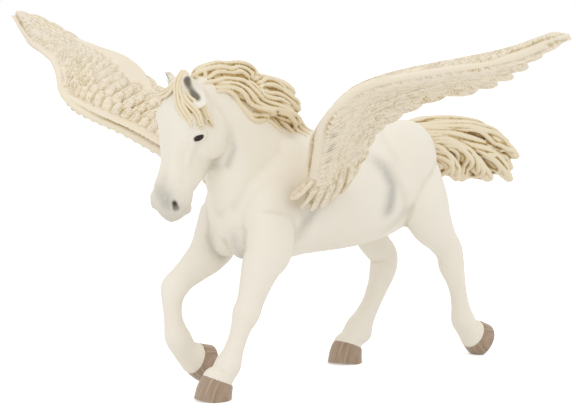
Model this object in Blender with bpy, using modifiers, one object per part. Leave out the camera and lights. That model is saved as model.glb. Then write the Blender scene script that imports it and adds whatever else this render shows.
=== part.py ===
"""A pegasus figurine: a winged horse stepping out, moulded as one solid and standing on three hooves.

The horse faces -X, its left side is -Y, and the floor is Z = 0 under it. Sizes are in millimetres.
Every limb, feather and lock of hair is lofted through a few sections. Each one runs deep into what
carries it, and a voxel remesh fuses them all into one skin, as one moulding is.
"""

import math

import bmesh
import bpy
import numpy as np
from mathutils import Vector

MM = 0.001

# Trunk
CHEST_CLEARANCE = 41.5  # floor to breastbone
TRUNK_DEPTH = 42.5  # breastbone to withers
TRUNK_LENGTH = 91.5  # front of the chest to the buttocks
TRUNK_WIDTH = 34.0
CHEST_REACH = 31.0  # front of the chest, ahead of the withers

# Neck and head
NECK_RISE = 16.5  # poll above the withers
NECK_REACH = 44.0  # poll ahead of the withers
NECK_BASE_DEPTH = 42.0
THROAT_DEPTH = 17.0
HEAD_LENGTH = 43.8
HEAD_WIDTH = 17.0
HEAD_LEAN = 5.5  # degrees that the face leans out from upright
HEAD_TURN = 3.0  # degrees that the head is turned to the left
EAR_LENGTH = 8.6
EAR_WIDTH = 5.6
EYE_SIZE = 3.4

# Legs
HOOF_LENGTH = 12.5
HOOF_WIDTH = 11.2
HOOF_HEIGHT = 6.0
PASTERN_WIDTH = 7.8
FETLOCK_WIDTH = 8.2
CANNON_WIDTH = 5.9
KNEE_WIDTH = 8.8
HOCK_WIDTH = 9.0
FOREARM_WIDTH = 10.4
GASKIN_WIDTH = 10.6
THIGH_WIDTH = 15.0
FORE_STANCE = 24.5  # between the two elbows
HIND_STANCE = 24.5  # between the two stifles
PLANTED_FORE_REACH = 20.0  # left fore hoof ahead of its elbow
RAISED_KNEE_REACH = 18.8  # right knee ahead of its elbow
PLANTED_HIND_REACH = 13.7  # right hind hoof ahead of its stifle
TRAILING_HIND_REACH = 27.5  # left hind hoof behind its stifle

# Wings
WING_ARM = (36.5, 49.6, 28.8)  # ahead, out and up, from the root to the wrist
WING_HAND = (29.0, 69.5, 28.6)  # back, out and up, from the wrist to the tip
LEFT_TIP_OFFSET = (-10.6, 0.0, -3.2)  # the left wing's tip, from the mirrored right one
LEFT_ARM_OFFSET = (3.0, 0.0, 0.0)  # the middle of the left wing's arm, from the mirrored right one
LEFT_FEATHER_TRIM = 0.09  # how much shorter the left flight feathers are, as a share of the chord
WING_CHORD = 44.3
WING_THICKNESS = 5.0
FEATHER_THICKNESS = 1.4
SECONDARIES = 10
PRIMARIES = 5
ROOT_FEATHERS = 6

# Hair
TAIL_LENGTH = 50.0
TAIL_DROP = 20.0
TAIL_LOCK_WIDTH = 8.6
MANE_LOCK_LENGTH = 30.0
MANE_LOCK_WIDTH = 7.0
FORELOCK_LENGTH = 17.0

# Skin
BODY_VOXEL = 0.6
DETAIL_VOXEL = 0.5
SKIN_TRIANGLES = 11800
SOLE_SINK = 0.35  # how far the planted soles reach below the floor before they are cut flat

LEFT, RIGHT = -1, 1
BONE_WHITE = (0.80, 0.76, 0.68, 1.0)


def rows_through(stations, per_span):
    """A smooth curve through rows of numbers, which passes through each row."""
    rows = np.array(stations, float)
    padded = np.vstack([2 * rows[0] - rows[1], rows, 2 * rows[-1] - rows[-2]])
    found = []
    for i in range(len(rows) - 1):
        a, b, c, d = padded[i : i + 4]
        for step in range(per_span):
            t = step / per_span
            bend, turn = 2 * a - 5 * b + 4 * c - d, 3 * b - a - 3 * c + d
            found.append(0.5 * (2 * b + (c - a) * t + bend * t**2 + turn * t**3))
    found.append(rows[-1])
    return np.array(found)


def unit(vectors):
    return vectors / np.maximum(np.linalg.norm(vectors, axis=-1, keepdims=True), 1e-9)


def new_solid(name, points, faces):
    """An object from points in millimetres, with its faces turned outwards."""
    mesh = bpy.data.meshes.new(name)
    mesh.from_pydata([tuple(p * MM) for p in points], [], faces)
    shape = bmesh.new()
    shape.from_mesh(mesh)
    bmesh.ops.recalc_face_normals(shape, faces=shape.faces)
    shape.to_mesh(mesh)
    shape.free()
    solid = bpy.data.objects.new(name, mesh)
    bpy.context.scene.collection.objects.link(solid)
    return solid


def loft(name, stations, up, sides=16, per_span=4, flutes=0, flute_depth=0.0, twist=0.0):
    """A closed tube through stations of (x, y, z, half width, half height above, half height below) and,
    where given, how round the section is: 1 is an ellipse, and less is squarer.

    up gives the direction of the section's upper side. A negative upper half makes a trough.
    flutes are grooves that run along the tube, and twist turns the section on its way, in degrees.
    """
    rows = rows_through(stations, per_span)
    centres, half_width, above, below = rows[:, :3], rows[:, 3], rows[:, 4], rows[:, 5]
    square = rows[:, 6] if rows.shape[1] > 6 else np.ones(len(rows))
    along = unit(np.gradient(centres, axis=0))
    reference = np.array(up, float)
    upward = unit(reference - (along @ reference)[:, None] * along)
    across = np.cross(upward, along)
    points = []
    for i, centre in enumerate(centres):
        turn = math.radians(twist) * i / (len(centres) - 1)
        side_axis = across[i] * math.cos(turn) + upward[i] * math.sin(turn)
        up_axis = upward[i] * math.cos(turn) - across[i] * math.sin(turn)
        for j in range(sides):
            angle = 2 * math.pi * j / sides
            c, s = math.cos(angle), math.sin(angle)
            c = math.copysign(abs(c) ** square[i], c)
            s = math.copysign(abs(s) ** square[i], s)
            groove = 1 - flute_depth * (0.5 + 0.5 * math.cos(flutes * angle)) if flutes else 1
            height = above[i] if s > 0 else below[i]
            points.append(centre + groove * (side_axis * half_width[i] * c + up_axis * height * s))
    rings = len(centres)
    faces = [
        (r * sides + j, r * sides + (j + 1) % sides, (r + 1) * sides + (j + 1) % sides, (r + 1) * sides + j)
        for r in range(rings - 1)
        for j in range(sides)
    ]
    faces.append(tuple(range(sides)))
    faces.append(tuple((rings - 1) * sides + j for j in range(sides)))
    return new_solid(name, points, faces)


def ball(name, centre, half_sizes, turn=(0.0, 0.0, 0.0)):
    """A squashed ball for a muscle. turn is in degrees about X, Y and Z."""
    bpy.ops.mesh.primitive_uv_sphere_add(segments=24, ring_count=14, radius=MM, location=Vector(centre) * MM)
    muscle = bpy.context.object
    muscle.name = name
    muscle.scale = half_sizes
    muscle.rotation_euler = [math.radians(angle) for angle in turn]
    bpy.ops.object.transform_apply(location=False, rotation=True, scale=True)
    return muscle


# Places that the pieces share


def trunk_x(share):
    """X at a share of the trunk's length, from the chest to the buttocks."""
    return TRUNK_LENGTH * share - CHEST_REACH


def trunk_z(share):
    """Z at a share of the trunk's depth, from the breastbone to the withers."""
    return CHEST_CLEARANCE + TRUNK_DEPTH * share


ELBOW_X = trunk_x(0.10)
ELBOW_Z = trunk_z(0.11)
STIFLE_Z = trunk_z(0.20)
POLL = np.array([-NECK_REACH, -1.0, trunk_z(1.0) + NECK_RISE])


def trunk():
    """Chest, barrel and croup."""
    profile = (  # share of the length, top and bottom as shares of the depth, share of the width
        (0.00, 0.50, 0.26, 0.12),
        (0.03, 0.64, 0.13, 0.28),
        (0.09, 0.80, 0.02, 0.41),
        (0.19, 0.94, -0.03, 0.48),
        (0.32, 1.00, -0.01, 0.48),
        (0.44, 0.95, 0.00, 0.50),
        (0.58, 0.93, 0.01, 0.51),
        (0.71, 0.97, 0.05, 0.50),
        (0.81, 1.01, 0.14, 0.49),
        (0.90, 0.96, 0.27, 0.43),
        (0.965, 0.84, 0.42, 0.29),
        (1.00, 0.70, 0.56, 0.12),
    )
    stations = []
    for along, top, bottom, width in profile:
        height = trunk_z(top) - trunk_z(bottom)
        middle = trunk_z(bottom) + 0.48 * height
        row = (trunk_x(along), 0.0, middle, width * TRUNK_WIDTH, 0.52 * height, 0.48 * height, 0.93)
        stations.append(row)
    return loft("trunk", stations, up=(0, 0, 1), sides=32)


def muscles():
    """Shoulders, breast and haunches, which show as soft masses under the skin."""
    half = TRUNK_WIDTH / 2
    masses = (  # name, along and up the trunk, share of the half width, half sizes over the depth, tilt
        ("shoulder", 0.150, 0.40, 0.60, (0.25, 0.15, 0.35), 24),
        ("shoulder_blade", 0.245, 0.66, 0.46, (0.19, 0.145, 0.30), -24),
        ("breast", 0.075, 0.22, 0.26, (0.15, 0.127, 0.20), 12),
        ("haunch", 0.80, 0.66, 0.52, (0.34, 0.20, 0.353), 20),
        ("buttock", 0.895, 0.54, 0.44, (0.16, 0.17, 0.294), -10),
    )
    found = []
    for side in (LEFT, RIGHT):
        for name, along, up, out, shares, tilt in masses:
            sizes = [share * TRUNK_DEPTH for share in shares]
            place = (trunk_x(along), side * half * out, trunk_z(up))
            found.append(ball(name, place, sizes, (0, tilt, 0)))
    return found


def crest(ahead, rise):
    """X and Z of a place between the withers and the poll, from its shares of the neck's reach and rise."""
    return -NECK_REACH * ahead, trunk_z(1.0) + NECK_RISE * rise


def neck():
    """From deep in the chest up to the poll, arched along its crest."""
    base, throat = NECK_BASE_DEPTH, THROAT_DEPTH
    upper_x, upper_z = crest(0.784, 0.424)
    nape_x, nape_z = crest(0.909, 0.697)
    stations = (
        (trunk_x(0.28), 0.0, trunk_z(0.46), base * 0.298, base * 0.46, base * 0.42),
        (trunk_x(0.165), 0.0, trunk_z(0.70), base * 0.281, base * 0.42, base * 0.485),
        (trunk_x(0.075), -0.2, trunk_z(0.94), base * 0.229, base * 0.32, base * 0.375),
        (upper_x, -0.5, upper_z, throat * 0.46, throat * 0.64, throat * 0.64),
        (nape_x, POLL[1], nape_z, throat * 0.39, throat * 0.46, throat * 0.50),
        (POLL[0], POLL[1], POLL[2] - throat * 0.15, throat * 0.31, throat * 0.27, throat * 0.32),
    )
    return loft("neck", stations, up=(1, 0, 0.7), sides=28)


# Head: its own axes run down the face, out of the forehead and out of its left cheek


def head_axes():
    lean, turn = math.radians(HEAD_LEAN), math.radians(HEAD_TURN)
    out = np.array([-math.cos(turn), -math.sin(turn), 0.0])
    down = unit(out * math.sin(lean) - np.array([0, 0, math.cos(lean)]))
    face = unit(out - (out @ down) * down)
    left = np.cross(face, down)
    return down, face, left


def head_point(down_share, face_out, left_out):
    """A point of the head, from the share of its length below the poll and two sizes that are given
    for a head 17 mm wide."""
    down, face, left = head_axes()
    wide = HEAD_WIDTH / 17.0
    start = POLL + np.array([-2.6, 0.0, 0.2]) * wide
    return start + down * HEAD_LENGTH * down_share + (face * face_out + left * left_out) * wide


def head_ball(name, place, half_sizes, lean=0.0):
    """A soft mass of the head. Its sizes run to the face, to the side and down the face."""
    wide = HEAD_WIDTH / 17.0
    sizes = [size * wide for size in half_sizes]
    return ball(name, head_point(*place), sizes, (0, HEAD_LEAN + lean, HEAD_TURN))


def skull():
    """The wedge from the poll to the lips, with a flat face line and a deep jaw."""
    down, face, left = head_axes()
    wide = HEAD_WIDTH / 17.0
    profile = (  # share of the length, face line, half width, half depth to the face and the jaw, roundness
        (0.00, -2.0, 4.4, 4.2, 5.0, 1.00),
        (0.08, -1.5, 6.4, 5.8, 8.0, 0.95),
        (0.20, -1.2, 7.8, 6.6, 11.5, 0.90),
        (0.31, -0.8, 8.0, 6.8, 13.5, 0.86),
        (0.42, -0.5, 6.9, 6.2, 14.4, 0.84),
        (0.52, -0.2, 5.5, 5.4, 14.0, 0.84),
        (0.62, 0.1, 4.9, 5.1, 12.0, 0.82),
        (0.71, 0.7, 5.5, 5.2, 8.4, 0.82),
        (0.79, 1.2, 6.2, 5.7, 6.2, 0.84),
        (0.87, 1.2, 6.2, 5.5, 5.4, 0.86),
        (0.94, 0.8, 5.0, 4.3, 4.6, 0.90),
        (0.985, 0.3, 3.5, 2.7, 3.5, 0.95),
        (1.00, -0.1, 1.9, 1.3, 1.9, 1.00),
    )
    stations = [
        (*head_point(share, line, 0.0), width * wide, front * wide, back * wide, roundness)
        for share, line, width, front, back, roundness in profile
    ]
    return loft("skull", stations, up=face, sides=28)


def head():
    """Skull and muzzle, with the round cheeks, the brows, the eyes and the flared nostrils."""
    pieces = [skull()]
    for side in (LEFT, RIGHT):
        pieces += [
            head_ball("cheek", (0.345, -8.4, -side * 4.7), (8.6, 3.4, 9.6)),
            head_ball("brow", (0.27, 1.6, -side * 6.2), (3.0, 2.1, 3.6)),
            head_ball("eye", (0.385, -1.9, -side * 7.0), (EYE_SIZE * 0.68, 1.6, EYE_SIZE * 0.56)),
            head_ball("nostril_rim", (0.865, 3.9, -side * 4.5), (2.5, 2.2, 3.4)),
            head_ball("chin", (0.91, -1.9, -side * 1.8), (2.8, 2.6, 2.6)),
        ]
    return pieces


def nostrils():
    """Slanting hollows in the corners of the muzzle."""
    return [
        head_ball("nostril", (0.875, 6.2, -side * 5.3), (1.5, 1.3, 2.0), lean=-22)
        for side in (LEFT, RIGHT)
    ]


def ears():
    """Two pricked ears, each a leaf rolled into a trough that opens outwards and a little forwards."""
    down, face, left = head_axes()
    found = []
    for side in (LEFT, RIGHT):
        foot = head_point(0.105, 0.5, -side * 4.9)
        tip = foot + (face * 0.14 - left * side * 0.19 - down * 0.86) * EAR_LENGTH
        half = EAR_WIDTH / 2
        leaf = (  # share of the length, width, hollow, depth
            (-0.40, 0.70, 0.8, 1.0),
            (-0.10, 1.00, 0.5, 1.2),
            (0.18, 1.12, 0.0, 1.3),
            (0.42, 1.10, -0.12, 1.3),
            (0.66, 0.92, -0.05, 1.1),
            (0.86, 0.60, 0.12, 0.8),
            (1.0, 0.30, 0.3, 0.45),
        )
        stations = [
            (*(foot + (tip - foot) * share), width * half, hollow * half, depth * half)
            for share, width, hollow, depth in leaf
        ]
        found.append(loft("ear", stations, up=face * 0.62 - left * side, sides=16))
    return found


# Legs: one table of sections, and one row of places for each leg


def limb_section(joint):
    """Half width, front half and back half of the leg at a named joint."""
    hoof_front, hoof_back, hoof_side = HOOF_LENGTH * 0.53, HOOF_LENGTH * 0.47, HOOF_WIDTH / 2
    return {
        "sole": (hoof_side, hoof_front, hoof_back),
        "wall": (hoof_side * 0.96, hoof_front * 0.93, hoof_back * 0.95),
        "coronet": (hoof_side * 0.85, hoof_front * 0.78, hoof_back * 0.90),
        "pastern": (PASTERN_WIDTH / 2, PASTERN_WIDTH * 0.49, PASTERN_WIDTH * 0.56),
        "fetlock": (FETLOCK_WIDTH / 2, FETLOCK_WIDTH * 0.49, FETLOCK_WIDTH * 0.57),
        "ankle": (CANNON_WIDTH * 0.56, CANNON_WIDTH * 0.56, CANNON_WIDTH * 0.59),
        "cannon": (CANNON_WIDTH / 2, CANNON_WIDTH * 0.51, CANNON_WIDTH * 0.53),
        "shin": (CANNON_WIDTH * 0.56, CANNON_WIDTH * 0.60, CANNON_WIDTH * 0.60),
        "knee": (KNEE_WIDTH / 2, KNEE_WIDTH * 0.53, KNEE_WIDTH * 0.50),
        "above_knee": (KNEE_WIDTH * 0.47, KNEE_WIDTH * 0.49, KNEE_WIDTH * 0.53),
        "forearm": (FOREARM_WIDTH * 0.47, FOREARM_WIDTH * 0.50, FOREARM_WIDTH * 0.55),
        "arm": (FOREARM_WIDTH * 0.55, FOREARM_WIDTH * 0.62, FOREARM_WIDTH * 0.72),
        "elbow": (FOREARM_WIDTH * 0.60, FOREARM_WIDTH * 0.75, FOREARM_WIDTH * 0.90),
        "shoulder": (FOREARM_WIDTH * 0.56, FOREARM_WIDTH * 0.78, FOREARM_WIDTH * 0.96),
        "hock": (HOCK_WIDTH * 0.47, HOCK_WIDTH * 0.54, HOCK_WIDTH * 0.52),
        "above_hock": (HOCK_WIDTH * 0.43, HOCK_WIDTH * 0.52, HOCK_WIDTH * 0.68),
        "gaskin": (GASKIN_WIDTH * 0.48, GASKIN_WIDTH * 0.62, GASKIN_WIDTH * 0.48),
        "stifle": (THIGH_WIDTH * 0.44, THIGH_WIDTH * 0.64, THIGH_WIDTH * 0.44),
        "thigh": (THIGH_WIDTH * 0.48, THIGH_WIDTH * 0.80, THIGH_WIDTH * 0.52),
        "hip": (THIGH_WIDTH * 0.36, THIGH_WIDTH * 0.60, THIGH_WIDTH * 0.40),
    }[joint]


def leg(top, foot_y, reach, places):
    """The sections of a leg from its sole up to top.

    Each place is a joint, a share of the height of top, how far behind top it lies, as a share of reach,
    and where given how much deeper its back half is than usual. The foot stands at foot_y.
    """
    stations = []
    for joint, rise, behind, *thicker in places:
        y = foot_y + (top[1] - foot_y) * min(rise, 1.0)
        if rise > 1.0:
            y -= top[1] * (rise - 1.0) * 0.41
        side, front, back = limb_section(joint)
        back *= thicker[0] if thicker else 1.0
        stations.append((top[0] + reach * behind, y, top[2] * rise, side, front, back))
    return stations


def leg_sections():
    """The sections of the left and right forelegs and of the left and right hind legs."""
    fore_sink, hind_sink = -SOLE_SINK / ELBOW_Z, -SOLE_SINK / STIFLE_Z
    hoof_fore, hoof_hind = HOOF_HEIGHT / ELBOW_Z, HOOF_HEIGHT / STIFLE_Z
    return [
        leg(
            (ELBOW_X, LEFT * FORE_STANCE / 2, ELBOW_Z),
            LEFT * FORE_STANCE * 0.37,
            -PLANTED_FORE_REACH,
            (
                ("sole", fore_sink, 1.00),
                ("wall", hoof_fore * 0.5, 0.97),
                ("coronet", hoof_fore, 0.93),
                ("pastern", 0.165, 0.84),
                ("fetlock", 0.24, 0.72),
                ("ankle", 0.305, 0.64),
                ("cannon", 0.40, 0.55),
                ("shin", 0.48, 0.48),
                ("knee", 0.565, 0.39),
                ("above_knee", 0.65, 0.32),
                ("forearm", 0.77, 0.23),
                ("arm", 0.89, 0.13),
                ("elbow", 1.0, 0.0),
                ("shoulder", 1.22, -0.10),
            ),
        ),
        leg(
            (trunk_x(0.09), RIGHT * FORE_STANCE / 2, trunk_z(0.157)),
            RIGHT * FORE_STANCE * 0.41,
            -RAISED_KNEE_REACH,
            (
                ("sole", 0.156, 0.30),
                ("wall", 0.173, 0.43),
                ("coronet", 0.191, 0.56),
                ("pastern", 0.249, 0.76),
                ("fetlock", 0.352, 0.93),
                ("ankle", 0.44, 0.985),
                ("cannon", 0.515, 1.01),
                ("shin", 0.60, 1.01),
                ("knee", 0.685, 0.95),
                ("above_knee", 0.75, 0.76),
                ("forearm", 0.82, 0.48),
                ("arm", 0.895, 0.21),
                ("elbow", 1.0, 0.0),
                ("shoulder", 1.18, -0.12),
            ),
        ),
        leg(
            (trunk_x(0.923), LEFT * HIND_STANCE / 2, STIFLE_Z),
            LEFT * HIND_STANCE * 0.41,
            TRAILING_HIND_REACH,
            (
                ("sole", 0.100, 1.00),
                ("wall", 0.124, 0.915),
                ("coronet", 0.148, 0.83),
                ("pastern", 0.192, 0.72),
                ("fetlock", 0.268, 0.62),
                ("ankle", 0.35, 0.58),
                ("cannon", 0.45, 0.53),
                ("shin", 0.55, 0.47),
                ("hock", 0.66, 0.385),
                ("above_hock", 0.76, 0.305),
                ("gaskin", 0.87, 0.18),
                ("stifle", 1.0, 0.0),
                ("thigh", 1.16, -0.10),
                ("hip", 1.36, -0.12),
            ),
        ),
        leg(
            (trunk_x(0.847), RIGHT * HIND_STANCE / 2, STIFLE_Z),
            RIGHT * HIND_STANCE * 0.37,
            -PLANTED_HIND_REACH,
            (
                ("sole", hind_sink, 1.00),
                ("wall", hoof_hind * 0.5, 0.96),
                ("coronet", hoof_hind, 0.90),
                ("pastern", 0.165, 0.76, 1.15),
                ("fetlock", 0.235, 0.53, 1.5),
                ("ankle", 0.30, 0.31, 1.4),
                ("cannon", 0.39, 0.04, 1.35),
                ("shin", 0.50, -0.22, 1.3),
                ("hock", 0.61, -0.43, 1.2),
                ("above_hock", 0.70, -0.44, 1.1),
                ("gaskin", 0.82, -0.20),
                ("stifle", 1.0, 0.0),
                ("thigh", 1.18, -0.10),
                ("hip", 1.36, -0.20),
            ),
        ),
    ]


def legs():
    return [loft("leg", stations, up=(-1, 0, 0), sides=20) for stations in leg_sections()]


# Wings: a thin arched plate along the bones, feathers laid on it in rows


def wing_root(side):
    return np.array([trunk_x(0.232), side * (TRUNK_WIDTH * 0.41), trunk_z(0.463)])


def wing_curves(side):
    """The front edge of a wing and its chords, finely, from the root through the wrist to the tip."""
    root = wing_root(side)
    arm = np.array([-WING_ARM[0], side * WING_ARM[1], WING_ARM[2]])
    hand = np.array([WING_HAND[0], side * WING_HAND[1], WING_HAND[2]])
    bones = (  # shares of the arm and of the hand, each way, and the chord as shares of the longest
        ((0.00, 0.00, 0.00), (0.00, 0.00, 0.00), (0.39, 0.03, 0.06)),
        ((0.38, 0.34, 0.32), (0.00, 0.00, 0.00), (0.59, -0.04, 0.12)),
        ((0.72, 0.67, 0.69), (0.00, 0.00, 0.00), (0.75, -0.10, 0.13)),
        ((1.00, 1.00, 1.00), (0.00, 0.00, 0.00), (0.99, -0.03, 0.09)),
        ((1.00, 1.00, 1.00), (0.18, 0.17, 0.41), (0.97, 0.17, -0.04)),
        ((1.00, 1.00, 1.00), (0.46, 0.45, 0.60), (0.70, 0.17, -0.02)),
        ((1.00, 1.00, 1.00), (0.73, 0.74, 0.72), (0.41, 0.12, 0.10)),
        ((1.00, 1.00, 1.00), (1.00, 1.00, 1.00), (0.12, 0.12, 0.06)),
    )
    table = []
    for arm_share, hand_share, chord in bones:
        edge = root + arm * arm_share + hand * hand_share
        if side == LEFT:
            edge = edge + np.array(LEFT_TIP_OFFSET) * np.array(hand_share) ** 2
            edge = edge + np.array(LEFT_ARM_OFFSET) * math.sin(math.pi * arm_share[0])
        table.append((*edge, chord[0] * WING_CHORD, side * chord[1] * WING_CHORD, chord[2] * WING_CHORD))
    return rows_through(table, 8)


def wing_frame(side, span):
    """The front edge, the chord and the upper side of a wing, at span 0 for the root, 3 for the
    wrist and 7 for the tip."""
    fine = wing_curves(side)
    row = min(max(span, 0.0), 7.0) * 8
    at = np.array([np.interp(row, range(len(fine)), fine[:, k]) for k in range(6)])
    low, high = max(int(row) - 2, 0), min(int(row) + 3, len(fine) - 1)
    outward = unit(fine[high, :3] + fine[high, 3:] * 0.4 - fine[low, :3] - fine[low, 3:] * 0.4)
    chord = at[3:]
    top = unit(np.cross(chord, outward)) * side
    return at[:3], chord, top


def wing_point(side, span, across, lift=0.0):
    """A point of the wing, at a share of the chord behind the front edge, on its arched middle surface."""
    edge, chord, top = wing_frame(side, span)
    arch = 0.07 * np.linalg.norm(chord) * math.sin(math.pi * min(max(across, 0.0), 1.0))
    return edge + chord * across + top * (arch + lift - WING_THICKNESS * 0.25)


def feather(name, points, width, thickness, top):
    """A blade with a round tip through the given points, narrow where it leaves the wing."""
    shape = ((0.0, 0.55), (0.18, 0.85), (0.45, 1.0), (0.72, 0.98), (0.9, 0.72), (0.97, 0.42), (1.0, 0.12))
    curve = rows_through(points, 6)
    stations = []
    for share, wide in shape:
        place = [np.interp(share * (len(curve) - 1), range(len(curve)), curve[:, k]) for k in range(3)]
        thin = thickness * (0.5 if share < 1 else 0.3)
        stations.append((*place, wide * width / 2, thin, thin * 0.8, 0.6))
    return loft(name, stations, up=top, sides=12, per_span=2)


def shingled(side, span, slope):
    """The upper side of a feather that lies on its outer neighbour, as roof tiles do."""
    edge, chord, top = wing_frame(side, span)
    outward = np.cross(unit(chord), top) * side
    return unit(top + outward * slope)


def wing_plate(side):
    """The muscled front of the wing and the thin web that the feathers lie on."""
    bone, web = [], []
    for step in range(-1, 14):
        span = max(step, 0) * 0.53
        edge, chord, top = wing_frame(side, span)
        thick = WING_THICKNESS * (1.0 - 0.085 * span)
        middle = wing_point(side, span, 0.15)
        if step < 0:
            middle = middle + np.array([0.07, -side * 0.18, -0.02]) * WING_CHORD
        bone.append((*middle, np.linalg.norm(chord) * 0.12, thick / 2, thick / 2))
        if step >= 0:
            thin = FEATHER_THICKNESS * 0.4
            web.append((*wing_point(side, span, 0.45), np.linalg.norm(chord) * 0.38, thin, thin))
    _, _, top = wing_frame(side, 3.0)
    return [loft("wing_bone", bone, up=top, sides=14), loft("wing_web", web, up=top, sides=12)]


def flight_feathers(side):
    """Secondaries behind the arm, and primaries fanned along the hand to the tip."""
    found = []
    total = SECONDARIES + PRIMARIES
    for i in range(total):
        share = i / (total - 1)
        root_span = 0.2 + 5.2 * share
        tip_span = 0.1 + 6.6 * share**0.95
        reach = 0.96 + 0.10 * share - (LEFT_FEATHER_TRIM * share if side == LEFT else 0.0)
        points = [
            wing_point(side, root_span, 0.25),
            wing_point(side, root_span * 0.4 + tip_span * 0.6, 0.66),
            wing_point(side, tip_span, reach),
        ]
        width = WING_CHORD * (0.265 - 0.05 * share)
        top = shingled(side, (root_span + tip_span) / 2, 0.20)
        found.append(feather("flight_feather", points, width, FEATHER_THICKNESS, top))
    last = [wing_point(side, span, across) for span, across in ((5.0, 0.3), (6.1, 0.45), (7.0, 0.7))]
    slim = WING_CHORD * 0.15
    found.append(feather("flight_feather", last, slim, FEATHER_THICKNESS, shingled(side, 6.0, 0.1)))
    return found


def covert_row(side, face, count, start, end, width, lift):
    """A row of short overlapping feathers on the upper (1) or the lower (-1) face of a wing."""
    found = []
    for i in range(count):
        span = 0.3 + 5.6 * i / (count - 1)
        slim = 1.0 - 0.06 * span
        points = [
            wing_point(side, span - 0.1, start, face * lift * 0.45 * slim),
            wing_point(side, span + 0.06, (start + end) / 2, face * lift * 0.95 * slim),
            wing_point(side, span + 0.25, end, face * lift * slim),
        ]
        found.append(feather("covert", points, width * slim, FEATHER_THICKNESS, shingled(side, span, 0.24)))
    return found


def root_feathers(side):
    """Feathers that fan down over the shoulder from the foot of the wing."""
    root = wing_root(side)
    found = []
    for i in range(ROOT_FEATHERS):
        share = i / (ROOT_FEATHERS - 1)
        start = wing_point(side, 1.0, 0.08 + 0.72 * share)
        sweep = np.array([0.50 * share - 0.17, side * 0.11, 0.06 - 0.12 * math.sin(math.pi * share**0.8)])
        tip = root + sweep * WING_CHORD
        middle = (start + tip) / 2 + np.array([0.0, side * 0.045, 0.0]) * WING_CHORD
        points = (start, middle, tip)
        found.append(feather("root_feather", points, WING_CHORD * 0.19, FEATHER_THICKNESS, (0.15, side, 0.1)))
    return found


def wing(side):
    pieces = wing_plate(side) + flight_feathers(side) + root_feathers(side)
    for face in (1, -1):
        lift = WING_THICKNESS
        pieces += covert_row(side, face, 12, 0.22, 0.64, WING_CHORD * 0.226, lift * 0.27)
        pieces += covert_row(side, face, 13, 0.10, 0.38, WING_CHORD * 0.203, lift * 0.44)
    return pieces


# Hair: wavy locks with grooves along them


def lock(name, points, width, thickness, up, twist=40.0, flutes=7, end=0.2):
    """A lock of hair, thick where it leaves the skin and narrower at its end."""
    curve = rows_through(points, 6)
    waist = 0.5 * (1.0 + end)
    stations = []
    for share, wide in ((0.0, 0.62), (0.2, 0.95), (0.5, 1.0), (0.78, 0.94), (0.93, waist), (1.0, end)):
        place = [np.interp(share * (len(curve) - 1), range(len(curve)), curve[:, k]) for k in range(3)]
        stations.append((*place, wide * width / 2, wide * thickness / 2, wide * thickness / 2))
    return loft(name, stations, up=up, sides=28, per_span=4, flutes=flutes, flute_depth=0.36, twist=twist)


def blown_path(start, length, lift, drop, side, spread, wave):
    """A path that a lock takes when the wind carries it back from start, and its own weight bends it
    down. It swings up and down by wave on its way."""
    found = []
    for t in (0.0, 0.12, 0.25, 0.38, 0.5, 0.62, 0.75, 0.88, 1.0):
        height = lift * math.sin(math.pi * t) - drop * t**2.2 + wave * math.sin(2.6 * math.pi * t)
        found.append(start + np.array([length * t, side * spread * t**0.6, height]))
    return found


def crest_point(share):
    """A point just under the crest of the neck, from the poll to the withers."""
    throat_x, throat_z = crest(0.705, 0.842)
    middle_x, middle_z = crest(0.42, 0.515)
    rows = (
        (*POLL[:2] * 0.955, POLL[2]),
        (throat_x, POLL[1] * 0.7, throat_z),
        (middle_x, POLL[1] * 0.3, middle_z),
        (trunk_x(0.31), 0.0, trunk_z(0.96)),
    )
    curve = rows_through(rows, 8)
    return np.array([np.interp(share * (len(curve) - 1), range(len(curve)), curve[:, k]) for k in range(3)])


def mane():
    """Locks blown back from the crest, in waves, over both sides of the neck."""
    locks = (  # place on the crest, length, lift, drop, side, width
        (0.00, 1.00, 3.4, 4.0, -0.1, 1.05),
        (0.03, 0.66, -1.0, 7.0, -1.0, 0.90),
        (0.08, 0.90, 2.0, 7.0, 0.7, 0.95),
        (0.12, 0.84, 0.6, 8.5, -0.8, 1.05),
        (0.20, 0.98, 3.0, 6.5, -0.3, 1.10),
        (0.24, 0.62, -2.0, 11.0, -1.1, 0.95),
        (0.28, 0.76, 0.0, 10.0, 0.9, 1.00),
        (0.36, 1.00, 3.0, 4.0, 0.0, 1.15),
        (0.38, 0.72, -1.0, 10.0, -1.1, 1.00),
        (0.44, 0.86, 1.4, 8.0, -0.6, 1.10),
        (0.50, 0.74, -0.5, 10.0, 0.9, 1.00),
        (0.58, 0.78, 2.4, 6.5, -0.1, 1.10),
        (0.60, 0.60, -1.0, 9.5, -0.9, 0.95),
        (0.70, 0.56, 0.4, 8.5, 0.5, 0.95),
        (0.76, 0.54, 1.4, 8.0, -0.3, 0.95),
        (0.84, 0.42, 0.4, 7.0, 0.1, 0.85),
    )
    scale = MANE_LOCK_LENGTH / 30.0
    thick = MANE_LOCK_WIDTH * 0.74
    shares = (0.0, 0.25, 0.5, 0.75, 0.95)
    lifted = np.array([0.14, 0.0, 0.10]) * MANE_LOCK_WIDTH
    roots = [(*(crest_point(share) + lifted), thick * 0.72, thick * 0.62, thick) for share in shares]
    found = [loft("mane_roots", roots, up=(1, 0, 1))]
    for place, long, lift, drop, side, wide in locks:
        sizes = (MANE_LOCK_LENGTH * long, lift * scale, drop * scale, side, 7.5 * scale, 0.9 * scale)
        path = blown_path(crest_point(place), *sizes)
        turn = 70 if side < 0 else -70
        up = (0.2, side, 1.0)
        found.append(lock("mane_lock", path, MANE_LOCK_WIDTH * wide, thick * wide, up, turn, end=0.3))
    return found


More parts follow.
